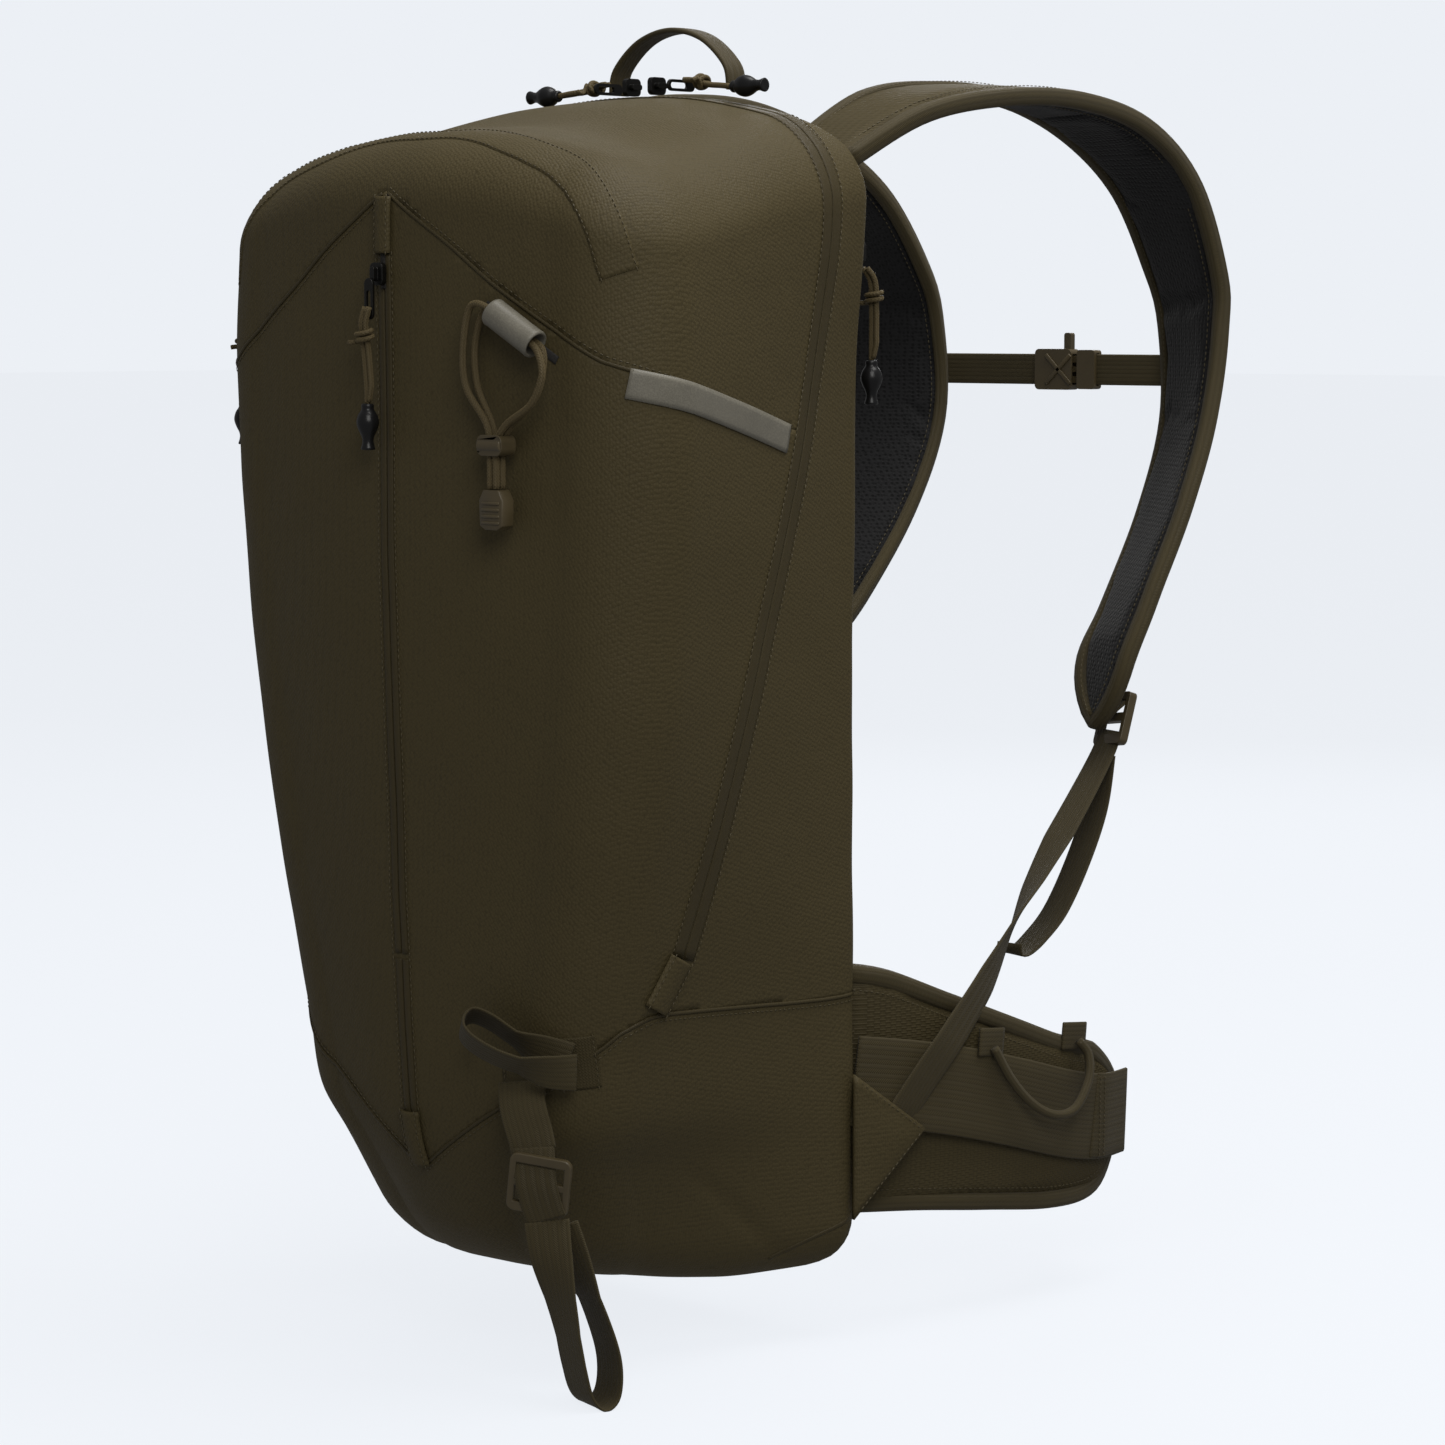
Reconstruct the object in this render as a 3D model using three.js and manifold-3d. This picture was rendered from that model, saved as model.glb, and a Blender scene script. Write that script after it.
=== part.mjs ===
// Avalanche airbag backpack, worn pose, millimetres, +Z up.
// Lengths below are measured from the pack's own datum: X = 0 on the middle plane (+X is the
// wearer's right), Y = 0 at mid depth (+Y towards the wearer) and Z = 0 at the base.
// The exported group is then shifted so that the origin is the centre of the back pad's face.
import * as THREE from 'three';
import { mergeVertices } from 'three/addons/utils/BufferGeometryUtils.js';
import Module from 'manifold-3d';

const wasm = await Module();
wasm.setup();

// ---- driving dimensions -------------------------------------------------------------------
const backY = 104;                 // rear face of the bag
const padThickness = 12;           // back pad
const padFaceY = backY + 0.4 + padThickness;
const originHeight = 300;          // back pad centre above the base
const roofHeight = 590;            // nominal height before the roof is sloped
const shellWall = 3;
const frontCorner = 45;            // plan radius of the two front corners
const rearCorner = 14;
const frontCrown = 11;             // how far the front panel bulges at the middle
const roofRounding = 36;
const baseRounding = 24;
const seamGap = 0.3;
const foldHeight = 168;            // the front panel folds down along this line
const tapeWidth = 8;               // one side of the main zip
const cordDiameter = 3;
const webThickness = 1.6;
const webGap = 0.4;

// Height, front half width and front centre line of the bag.
const bagLevels = [
  { z: 0, half: 80, front: -66 },
  { z: 27, half: 86, front: -78 },
  { z: 62, half: 95, front: -92 },
  { z: 88, half: 108, front: -98 },
  { z: 127, half: 114, front: -101 },
  { z: 241, half: 133.5, front: -106.5 },
  { z: 304, half: 143, front: -108.5 },
  { z: 398, half: 151, front: -110 },
  { z: 480, half: 152, front: -111 },
  { z: 600, half: 147, front: -111 },
];
const rearHalfLow = 124;
const rearHalfHigh = 131;

// Side view (Y, Z) of the main zip, from its lower garage to the top of the roof.
const zipLine = new THREE.SplineCurve([
  new THREE.Vector2(-38, 150),
  new THREE.Vector2(-13, 240),
  new THREE.Vector2(18, 346),
  new THREE.Vector2(48, 442),
  new THREE.Vector2(63, 516),
  new THREE.Vector2(66, 566),
  new THREE.Vector2(66, 640),
]);

const colours = {
  fabric: 0x3a3122,
  webbing: 0x3c3323,
  lining: 0x0d0d0d,
  plastic: 0x3b3323,
  bead: 0x101012,
  slider: 0x141310,
  reflective: 0x8b887c,
  airbag: 0xb8431f,
  housing: 0x24262a,
};

// ---- small helpers --------------------------------------------------------------------------
const vec = (x, y, z) => new THREE.Vector3(x, y, z);

function material(colour, roughness = 0.8, metalness = 0) {
  return new THREE.MeshStandardMaterial({ color: colour, roughness, metalness });
}

function blendBetween(value, from, to) {
  return THREE.MathUtils.smoothstep(value, from, to);
}

function tableValue(table, key, at, name) {
  const last = table.length - 1;
  if (at <= table[0][key]) return table[0][name];
  if (at >= table[last][key]) return table[last][name];
  const i = table.findIndex((row) => row[key] > at);
  const low = table[i - 1];
  const high = table[i];
  const t = (at - low[key]) / (high[key] - low[key]);
  return THREE.MathUtils.lerp(low[name], high[name], t);
}

function toSolid(geometry) {
  const plain = geometry.clone();
  for (const name of Object.keys(plain.attributes)) {
    if (name !== 'position') plain.deleteAttribute(name);
  }
  const merged = mergeVertices(plain, 1e-4);
  const vertProperties = new Float32Array(merged.attributes.position.array);
  const triVerts = new Uint32Array(merged.index.array);
  return new wasm.Manifold(new wasm.Mesh({ numProp: 3, vertProperties, triVerts }));
}

function toGeometry(solid) {
  const mesh = solid.getMesh();
  const geometry = new THREE.BufferGeometry();
  geometry.setAttribute('position', new THREE.BufferAttribute(mesh.vertProperties, 3));
  geometry.setIndex(new THREE.BufferAttribute(mesh.triVerts, 1));
  geometry.computeVertexNormals();
  return geometry;
}

function piece(name, geometry, finish) {
  const mesh = new THREE.Mesh(geometry, finish);
  mesh.name = name;
  return mesh;
}

// Closes a stack of equal rings of points into one solid, with a fan over each end.
function skinRings(rings, startPoint, endPoint) {
  const count = rings[0].length;
  const points = rings.flat();
  const startIndex = points.push(startPoint) - 1;
  const endIndex = points.push(endPoint) - 1;
  const index = [];
  for (let r = 0; r < rings.length - 1; r += 1) {
    for (let i = 0; i < count; i += 1) {
      const a = r * count + i;
      const b = r * count + ((i + 1) % count);
      index.push(a, b, b + count, a, b + count, a + count);
    }
  }
  const lastRing = (rings.length - 1) * count;
  for (let i = 0; i < count; i += 1) {
    const j = (i + 1) % count;
    index.push(startIndex, j, i);
    index.push(endIndex, lastRing + i, lastRing + j);
  }
  const geometry = new THREE.BufferGeometry().setFromPoints(points);
  geometry.setIndex(index);
  geometry.computeVertexNormals();
  return geometry;
}

function middle(points) {
  return points.reduce((sum, p) => sum.add(p), vec(0, 0, 0)).divideScalar(points.length);
}

// A flat band between two edge lines: straps, webbing, pads.
function band(leftPoints, rightPoints, thickness, steps) {
  const left = new THREE.CatmullRomCurve3(leftPoints);
  const right = new THREE.CatmullRomCurve3(rightPoints);
  const rings = [];
  for (let i = 0; i <= steps; i += 1) {
    const t = i / steps;
    const a = left.getPoint(t);
    const b = right.getPoint(t);
    const along = left.getTangent(t).add(right.getTangent(t)).normalize();
    const across = b.clone().sub(a).normalize();
    const up = across.clone().cross(along).normalize();
    const offset = up.multiplyScalar(thickness / 2);
    rings.push([
      a.clone().add(offset), b.clone().add(offset), b.clone().sub(offset), a.clone().sub(offset),
    ]);
  }
  return skinRings(rings, middle(rings[0]), middle(rings[steps]));
}

// Webbing of one width along a centre line, its flat side turned by the side directions.
function webbing(centres, sides, width, thickness, steps) {
  const shift = (sign) => centres.map((c, i) => {
    const side = (sides[i] || sides[sides.length - 1]).clone().normalize();
    return c.clone().addScaledVector(side, (sign * width) / 2);
  });
  return band(shift(-1), shift(1), thickness, steps);
}

function tube(points, diameter, steps) {
  const section = new THREE.Shape();
  const count = 8;
  for (let i = 0; i < count; i += 1) {
    const angle = (i / count) * Math.PI * 2;
    const x = (Math.cos(angle) * diameter) / 2;
    const y = (Math.sin(angle) * diameter) / 2;
    if (i === 0) section.moveTo(x, y);
    else section.lineTo(x, y);
  }
  section.closePath();
  const path = new THREE.CatmullRomCurve3(points, false, 'centripetal');
  return new THREE.ExtrudeGeometry(section, { steps, extrudePath: path, curveSegments: 1 });
}

function outline(points) {
  const shape = new THREE.Shape();
  points.forEach(([x, y], i) => (i === 0 ? shape.moveTo(x, y) : shape.lineTo(x, y)));
  shape.closePath();
  return shape;
}

function roundedBox(width, depth, height, radius, segments = 3) {
  const w = width / 2;
  const h = height / 2;
  const shape = new THREE.Shape();
  shape.moveTo(-w + radius, -h);
  shape.lineTo(w - radius, -h);
  shape.absarc(w - radius, -h + radius, radius, -Math.PI / 2, 0, false);
  shape.lineTo(w, h - radius);
  shape.absarc(w - radius, h - radius, radius, 0, Math.PI / 2, false);
  shape.lineTo(-w + radius, h);
  shape.absarc(-w + radius, h - radius, radius, Math.PI / 2, Math.PI, false);
  shape.lineTo(-w, -h + radius);
  shape.absarc(-w + radius, -h + radius, radius, Math.PI, Math.PI * 1.5, false);
  const geometry = new THREE.ExtrudeGeometry(shape, {
    depth, bevelEnabled: false, curveSegments: segments,
  });
  geometry.translate(0, 0, -depth / 2);
  geometry.rotateX(Math.PI / 2);
  return geometry;
}

// Extrudes a (Y, Z) outline across the pack, for cutting it in side view.
function sideCutter(points, fromX, toX) {
  const geometry = new THREE.ExtrudeGeometry(outline(points), {
    depth: toX - fromX, bevelEnabled: false, curveSegments: 1,
  });
  geometry.rotateX(Math.PI / 2);
  geometry.rotateZ(Math.PI / 2);
  geometry.translate(fromX, 0, 0);
  return toSolid(geometry);
}

function boxSolid(low, high) {
  const size = high.clone().sub(low);
  const geometry = new THREE.BoxGeometry(size.x, size.y, size.z);
  const centre = low.clone().add(high).multiplyScalar(0.5);
  geometry.translate(centre.x, centre.y, centre.z);
  return toSolid(geometry);
}

// ---- the bag's shape ------------------------------------------------------------------------
function roofAt(x, y) {
  const slope = [
    { y: -111, z: 570 }, { y: -60, z: 575 }, { y: -33, z: 578 },
    { y: 17, z: 590 }, { y: 68, z: 596 }, { y: 104, z: 598 },
  ];
  const sideDrop = 26 * Math.min(Math.abs(x) / 140, 1.1) ** 2.2;
  return tableValue(slope, 'y', y, 'z') - sideDrop;
}

function baseAt(y) {
  const sag = [{ y: -70, z: 9 }, { y: -30, z: 2 }, { y: 40, z: -7 }, { y: 104, z: -3 }];
  return tableValue(sag, 'y', y, 'z');
}

function placeHeight(x, y, height) {
  const roofShare = blendBetween(height, 430, roofHeight);
  const baseShare = 1 - blendBetween(height, 0, 110);
  return height + (roofAt(x, y) - roofHeight) * roofShare + baseAt(y) * baseShare;
}

// One closed plan section; offset moves the outline outwards, shrink draws it to the middle.
function bagRing(height, offset, shrink = 1) {
  const half = tableValue(bagLevels, 'z', height, 'half') + offset;
  const front = tableValue(bagLevels, 'z', height, 'front') - offset;
  const rearHalf = THREE.MathUtils.lerp(rearHalfLow, rearHalfHigh, blendBetween(height, 440, 560));
  const rear = backY + offset;
  const wide = rearHalf + offset;
  const corner = Math.max(frontCorner + offset, 6);
  const back = Math.max(rearCorner + offset, 3);
  const flat = half - corner;
  const right = [];
  for (let i = 0; i < 3; i += 1) {
    const x = (flat * i) / 3;
    right.push([x, front + frontCrown * (x / flat) ** 2]);
  }
  for (let i = 0; i <= 4; i += 1) {
    const angle = (i / 4) * (Math.PI / 2);
    right.push([flat + corner * Math.sin(angle), front + frontCrown + corner * (1 - Math.cos(angle))]);
  }
  const sideStart = front + frontCrown + corner;
  for (let i = 1; i < 3; i += 1) {
    const t = i / 3;
    right.push([THREE.MathUtils.lerp(half, wide, t), THREE.MathUtils.lerp(sideStart, rear - back, t)]);
  }
  for (let i = 0; i <= 2; i += 1) {
    const angle = (i / 2) * (Math.PI / 2);
    right.push([wide - back + back * Math.cos(angle), rear - back + back * Math.sin(angle)]);
  }
  right.push([(wide - back) / 2, rear]);
  right.push([0, rear]);
  const left = right.slice(1, -1).reverse().map(([x, y]) => [-x, y]);
  const centreY = (front + rear) / 2;
  return [...right, ...left].map(([x, y]) => {
    const sx = x * shrink;
    const sy = centreY + (y - centreY) * shrink;
    return [sx, sy];
  });
}

function bagSolid(offset) {
  const rings = [];
  const addRing = (height, inset, shrink, lift) => {
    rings.push(bagRing(height, offset - inset, shrink).map(([x, y]) => (
      vec(x, y, placeHeight(x, y, height) + lift)
    )));
  };
  const arcSteps = 3;
  addRing(0, baseRounding, 0.55, -offset);
  for (let i = 0; i <= arcSteps; i += 1) {
    const angle = (i / arcSteps) * (Math.PI / 2);
    const height = baseRounding * (1 - Math.cos(angle));
    addRing(height, baseRounding * (1 - Math.sin(angle)), 1, -offset * Math.cos(angle));
  }
  for (const height of [62, 90, 127, 240, 304, 398, 450, 500]) {
    addRing(height, 0, 1, 0);
  }
  for (let i = 0; i <= arcSteps; i += 1) {
    const angle = (i / arcSteps) * (Math.PI / 2);
    const height = roofHeight - roofRounding * (1 - Math.sin(angle));
    addRing(height, roofRounding * (1 - Math.cos(angle)), 1, offset * Math.sin(angle));
  }
  addRing(roofHeight, roofRounding, 0.66, offset);
  addRing(roofHeight, roofRounding, 0.33, offset);
  const low = vec(0, 15, placeHeight(0, 15, 0) - offset);
  const high = vec(0, 0, placeHeight(0, 0, roofHeight) + offset);
  return toSolid(skinRings(rings, low, high));
}

// The zip line moved sideways by a distance, towards the wearer when positive.
function zipOffset(distance, samples = 11) {
  const points = [];
  for (let i = 0; i <= samples; i += 1) {
    const t = i / samples;
    const p = zipLine.getPoint(t);
    const tangent = zipLine.getTangent(t);
    points.push([p.x + tangent.y * distance, p.y - tangent.x * distance]);
  }
  return points;
}

const reach = 220;                 // cutters reach past the bag
const frontRegion = sideCutter([
  [-reach, foldHeight], ...zipOffset(0).map(([y, z]) => [y, Math.max(z, foldHeight)]),
  [-reach, 640],
], -reach, reach);
const rearRegion = sideCutter([
  ...zipOffset(seamGap).map(([y, z]) => [y, Math.max(z, foldHeight)]).reverse(),
  [reach, foldHeight], [reach, 640],
], -reach, reach);

// Everything above the upper V seam, cut in front view.
function aboveSeam(drop) {
  const half = 137;
  const peak = 544 - drop;
  const low = 452 - drop;
  const shape = outline([
    [-reach, low], [-half, low], [0, peak], [half, low], [reach, low], [reach, 700], [-reach, 700],
  ]);
  const geometry = new THREE.ExtrudeGeometry(shape, {
    depth: 2 * reach, bevelEnabled: false, curveSegments: 1,
  });
  geometry.rotateX(Math.PI / 2);
  geometry.translate(0, reach, 0);
  return toSolid(geometry);
}

const outerBag = bagSolid(0);
const bagShell = outerBag.subtract(bagSolid(-shellWall));

function skinBetween(inner, outer) {
  return bagSolid(outer).subtract(bagSolid(inner));
}
const tapeSkin = skinBetween(0.4, 1.6);

// ---- bag pieces -----------------------------------------------------------------------------
function backShell() {
  return piece('back_shell', toGeometry(bagShell.intersect(rearRegion)), material(colours.fabric));
}

function baseBoot() {
  const low = boxSolid(vec(-reach, -reach, -60), vec(reach, reach, foldHeight - seamGap));
  return piece('base_boot', toGeometry(bagShell.intersect(low)), material(colours.fabric));
}

function frontPanel() {
  const shell = bagShell.intersect(frontRegion).subtract(aboveSeam(seamGap));
  return piece('front_panel', toGeometry(shell), material(colours.fabric));
}

function headPanel() {
  const shell = bagShell.intersect(frontRegion).intersect(aboveSeam(0));
  return piece('head_panel', toGeometry(shell), material(colours.fabric));
}

// One half of the main zip's tape, on the wearer's side or on the front side of the line.
function mainZipTape(name, from, to) {
  const line = [...zipOffset(from), ...zipOffset(to).reverse()];
  const clipLow = boxSolid(vec(-reach, -reach, foldHeight + 2), vec(reach, reach, 700));
  const tape = tapeSkin.intersect(sideCutter(line, -reach, reach)).intersect(clipLow);
  return piece(name, toGeometry(tape), material(colours.fabric, 0.55));
}

// The middle zip, in two pieces that meet at the fold.
function frontZip(name, low, high) {
  const slot = boxSolid(vec(-6, -reach, low), vec(6, 0, high));
  return piece(name, toGeometry(tapeSkin.intersect(slot)), material(colours.fabric, 0.55));
}

function reflectiveStrip() {
  const cutter = sideCutter([[-86, 446], [28, 415], [28, 429], [-86, 458]], 100, reach);
  const strip = tapeSkin.intersect(cutter);
  return piece('reflective_strip', toGeometry(strip), material(colours.reflective, 0.35));
}

function backPad() {
  const geometry = roundedBox(196, padThickness, 430, 30, 4);
  geometry.translate(0, backY + 0.4 + padThickness / 2, originHeight);
  return piece('back_pad', geometry, material(colours.lining, 0.9));
}

function carryHandle() {
  const y = 96;
  const foot = roofAt(0, y) + 2.2;
  const arch = [
    vec(-47, y, foot), vec(-44, y, foot + 14), vec(-24, y, foot + 31), vec(0, y, foot + 36),
    vec(24, y, foot + 31), vec(44, y, foot + 14), vec(47, y, foot),
  ];
  const geometry = webbing(arch, arch.map(() => vec(0, 1, 0)), 14, 3, 20);
  return piece('carry_handle', geometry, material(colours.webbing));
}

// ---- zip sliders, pull cords and beads ---------------------------------------------------------
function sliderGeometry() {
  const body = toSolid(roundedBox(9, 3, 11, 2.5, 3));
  const bridge = toSolid(roundedBox(3, 3, 7, 1.2, 2).translate(0, -2.9, 0));
  return toGeometry(body.add(bridge));
}

// Elongated ring; its hinge end is at the top.
function tabGeometry() {
  const plate = toSolid(roundedBox(6, 1.6, 20, 2.9, 3));
  const hole = toSolid(roundedBox(3, 4, 12, 1.4, 3).translate(0, 0, -2));
  return toGeometry(plate.subtract(hole));
}

// Collar, bulge and flared end, hanging down from z = 0.
function beadGeometry() {
  const profile = [
    [0, -22], [3.3, -22], [2.6, -18], [3.1, -15], [4.9, -11.5], [5.4, -8], [4.4, -4.6],
    [2.6, -2.2], [2.4, 0], [0, 0],
  ];
  const geometry = new THREE.LatheGeometry(profile.map(([x, y]) => new THREE.Vector2(x, y)), 10);
  geometry.rotateX(Math.PI / 2);
  return geometry;
}

// Cord that leaves the tab's ring, falls along the given points and ends in the bead.
function pullSet(name, place) {
  const set = new THREE.Group();
  const slider = piece(`${name}_slider`, sliderGeometry(), material(colours.slider, 0.4, 0.6));
  slider.position.copy(place.slider);
  slider.rotation.set(...place.sliderTurn);
  set.add(slider);
  if (place.tab) {
    const tab = piece(`${name}_tab`, tabGeometry(), material(colours.slider, 0.4, 0.6));
    tab.position.copy(place.tab);
    tab.rotation.set(...place.tabTurn);
    set.add(tab);
  }
  const steps = 12;
  const cord = piece(`${name}_cord`, tube(place.cord, cordDiameter, steps), material(colours.webbing));
  set.add(cord);
  const bead = piece(`${name}_bead`, beadGeometry(), material(colours.bead, 0.25));
  bead.position.copy(place.bead);
  bead.rotation.set(...place.beadTurn);
  set.add(bead);
  return set;
}

// The front pull hangs in front of the middle zip.
function frontPull() {
  return pullSet('front', {
    slider: vec(0, -115.2, 504),
    sliderTurn: [0, 0, 0],
    tab: vec(0, -121, 492),
    tabTurn: [0, 0, 0],
    cord: [
      vec(0, -123.8, 488), vec(-2.5, -124.2, 480), vec(-2.5, -122.5, 468), vec(-2, -121.4, 452),
      vec(-2, -121, 441.3),
    ],
    bead: vec(-2, -121, 441),
    beadTurn: [0, 0, 0],
  });
}

// The two main pulls lie on the roof either side of the middle.
function mainPull(name, side) {
  const y = 71.5;
  const top = (x) => roofAt(x, y) + 1.5;
  const at = (x, rise, dy = 0) => vec(side * x, y + dy, top(x) + rise);
  return pullSet(name, {
    slider: at(9, 4.2),
    sliderTurn: [-Math.PI / 2, 0, Math.PI / 2],
    tab: at(26, 4.4),
    tabTurn: [-Math.PI / 2, 0, side * Math.PI / 2],
    cord: [at(28, 7.2), at(34, 7.2, 1), at(44, 5.6, 1), at(54, 5.8, 0), at(62, 6, 0)],
    bead: at(62.4, 6),
    beadTurn: [0, side * -Math.PI / 2, 0],
  });
}

// Pull of the zip in the left side panel.
function sidePull() {
  const x = -157.4;
  const y = -66;
  return pullSet('side', {
    slider: vec(-154.9, y, 494),
    sliderTurn: [0, 0, -Math.PI / 2],
    cord: [
      vec(-159, y, 486), vec(-160.5, y, 478), vec(x - 1.5, y, 464), vec(x - 1.2, y, 450),
      vec(x - 1, y, 439.3),
    ],
    bead: vec(x - 1, y, 439),
    beadTurn: [0, 0, 0],
  });
}

// Pull of the back-panel zip, just inside the right rear edge.
function rearPull() {
  const x = 116;
  return pullSet('rear', {
    slider: vec(x, 106.2, 516),
    sliderTurn: [0, 0, Math.PI],
    cord: [
      vec(x, 110.4, 508), vec(x + 2, 114, 501), vec(x + 2, 115, 486), vec(x + 2, 115, 472),
      vec(x + 2, 115, 461.3),
    ],
    bead: vec(x + 2, 115, 461),
    beadTurn: [0, 0, 0],
  });
}

// ---- upper axe holder -----------------------------------------------------------------------
const sleeveCentre = vec(91, -112.5, 478);
const sleeveDirection = vec(25, 2.5, -15).normalize();
const sleeveLength = 30;

function alongSleeve(distance, dy = 0, dz = 0) {
  const p = sleeveCentre.clone().addScaledVector(sleeveDirection, distance);
  return p.add(vec(0, dy, dz));
}

function axeSleeve() {
  const outer = new THREE.CylinderGeometry(7, 7, sleeveLength, 16);
  const inner = new THREE.CylinderGeometry(5.4, 5.4, sleeveLength + 4, 16);
  const ring = toSolid(outer).subtract(toSolid(inner));
  const sleeve = piece('axe_sleeve', toGeometry(ring), material(colours.reflective, 0.35));
  sleeve.position.copy(sleeveCentre);
  sleeve.quaternion.setFromUnitVectors(vec(0, 1, 0), sleeveDirection);
  return sleeve;
}

const axeCordDiameter = 3.4;

// Each cord runs from the toggle through the clip, round and through the sleeve, and back.
function axeCord(name, spread, dy) {
  const x = 80;
  const y = -114 + dy;
  const lane = spread === 0 ? 1.9 : 0;
  const points = [
    vec(x - 2 - lane * 0.2, y, 402.5), vec(x - 2, y, 412), vec(x - 2.2, y, 424),
    vec(x - 5, y, 434), vec(x - 14 - spread, y, 450), vec(x - 16 - spread, y, 468),
    vec(x - 11 - spread, y, 484 + spread), alongSleeve(-17, dy, 1), alongSleeve(-8, dy, 0),
    alongSleeve(8, dy, 0), alongSleeve(18, dy, -1), vec(x + 28 + spread, y + 1, 456),
    vec(x + 22 + spread, y, 443), vec(x + 9, y, 433), vec(x + 2.2, y, 424), vec(x + 2, y, 412),
    vec(x + 2 + lane * 0.2, y, 402.5),
  ];
  return piece(name, tube(points, axeCordDiameter, 44), material(colours.webbing));
}

function cordClip() {
  const body = toSolid(roundedBox(17, 10, 10, 4, 4));
  const barrel = new THREE.CylinderGeometry(3.2, 3.2, 15, 12);
  barrel.rotateZ(Math.PI / 2);
  barrel.translate(0, -3, 0);
  const cordHole = boxSolid(vec(-6.4, -4, -20), vec(6.4, 4, 20));
  const solid = body.add(toSolid(barrel)).subtract(cordHole);
  const clip = piece('cord_clip', toGeometry(solid), material(colours.plastic, 0.45));
  clip.position.set(80, -114, 423);
  return clip;
}

function axeToggle() {
  const shape = outline([[-5, 0], [5, 0], [8, -5], [7.5, -17], [4, -19], [-4, -19], [-7.5, -17], [-8, -5]]);
  const geometry = new THREE.ExtrudeGeometry(shape, { depth: 8, bevelEnabled: false, curveSegments: 1 });
  geometry.translate(0, 0, -4);
  geometry.rotateX(Math.PI / 2);
  const toggle = piece('axe_toggle', geometry, material(colours.plastic, 0.45));
  toggle.position.set(80, -114, 402);
  return toggle;
}

// ---- lower axe loop and ski strap ---------------------------------------------------------------
const slotSide = vec(0.25, 0.35, 0.9);

function axeLoop() {
  const centres = [
    vec(104, -86, 126), vec(92, -100, 127), vec(72, -113, 136), vec(54, -119, 147),
    vec(49, -113, 149), vec(58, -104, 143), vec(76, -97.5, 131), vec(96, -86.5, 122.5),
  ];
  const sides = centres.map(() => slotSide);
  return piece('axe_loop', webbing(centres, sides, 18, webThickness, 26), material(colours.webbing));
}

const skiSide = vec(0.88, 0.47, -0.12);

function skiStrap() {
  const centres = [vec(74, -93.5, 114), vec(78, -97, 103), vec(84, -98, 90), vec(86.5, -98, 82)];
  const geometry = webbing(centres, centres.map(() => skiSide), 23, webThickness, 6);
  return piece('ski_strap', geometry, material(colours.webbing));
}

function skiBuckle() {
  const frame = toSolid(roundedBox(31, 4, 29, 4, 3));
  const upper = boxSolid(vec(-12.2, -9, 1.8), vec(12.2, 9, 9.8));
  const lower = boxSolid(vec(-12.2, -9, -9.8), vec(12.2, 9, -1.8));
  const buckle = piece('ski_buckle', toGeometry(frame.subtract(upper).subtract(lower)),
    material(colours.plastic, 0.45));
  buckle.position.set(90, -97.8, 66);
  buckle.rotation.set(0, 0.14, 0.49);
  return buckle;
}

function skiLoop() {
  const out = vec(-0.47, 0.88, 0);
  const centres = [
    vec(93.6, -96.4, 48.5), vec(97, -96, 30), vec(104, -92, 0), vec(112, -87, -28), vec(120, -82, -38),
    vec(124, -72.5, -28), vec(122, -70.5, 0), vec(113.5, -74.5, 28), vec(105, -80, 44),
  ];
  const sides = centres.map((c, i) => skiSide.clone().addScaledVector(out, i * 0.03));
  return piece('ski_loop', webbing(centres, sides, 23, webThickness, 30), material(colours.webbing));
}

// ---- shoulder straps ------------------------------------------------------------------------
const strapOuter = [
  [132, 109, 583], [133, 142, 596], [136, 196, 602], [140, 259, 601], [143, 314, 587],
  [145, 356, 557], [146, 380, 509], [146, 383, 476], [146, 373, 427], [145, 351, 377],
  [142, 325, 329], [139, 310, 297], [132, 304, 262],
];
const strapInner = [
  [78, 109, 579], [82, 150, 588], [84, 205, 596], [86, 262, 597], [86, 318, 583],
  [84, 368, 553], [82, 404, 507], [82, 417, 476], [82, 420, 425], [84, 397, 374],
  [88, 359, 324], [92, 330, 293], [101, 317, 259],
];
const strapThickness = 11;

function mirrored(points, side) {
  return points.map(([x, y, z]) => vec(side * x, y, z));
}

function shoulderPad(name, side) {
  const left = mirrored(side > 0 ? strapInner : strapOuter, side);
  const right = mirrored(side > 0 ? strapOuter : strapInner, side);
  return piece(name, band(left, right, strapThickness, 30), material(colours.fabric));
}

function ladderLock(name, side) {
  const frame = toSolid(roundedBox(29, 5, 30, 3, 2));
  const slotA = boxSolid(vec(-11, -9, 3), vec(11, 9, 10));
  const slotB = boxSolid(vec(-11, -9, -9), vec(11, 9, -2));
  const lock = piece(name, toGeometry(frame.subtract(slotA).subtract(slotB)),
    material(colours.plastic, 0.45));
  lock.position.set(side * 121, 321.5, 262);
  lock.rotation.set(-0.35, 0, side * -0.4);
  return lock;
}

// Webbing from the hip patch up to the ladder lock, where its loose tail falls from the same bar.
function strapWeb(name, side) {
  const centres = [
    vec(147, 128, 68), vec(149, 150, 92), vec(147, 172, 113), vec(141, 200, 138),
    vec(129, 250, 182), vec(122, 292, 222), vec(120, 312, 244),
  ].map((p) => vec(side * p.x, p.y, p.z));
  const sides = [
    vec(0, 0.7, -0.7), vec(0, 0.65, -0.75), vec(0.15, 0.6, -0.7), vec(0.45, 0.4, -0.5),
    vec(0.85, 0.2, -0.3), vec(1, -0.1, 0), vec(1, -0.2, 0),
  ].map((v) => vec(side * v.x, v.y, v.z));
  const run = toSolid(webbing(centres, sides, 20, webThickness, 18));
  return piece(name, toGeometry(run.add(strapTail(side))), material(colours.webbing));
}

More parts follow.
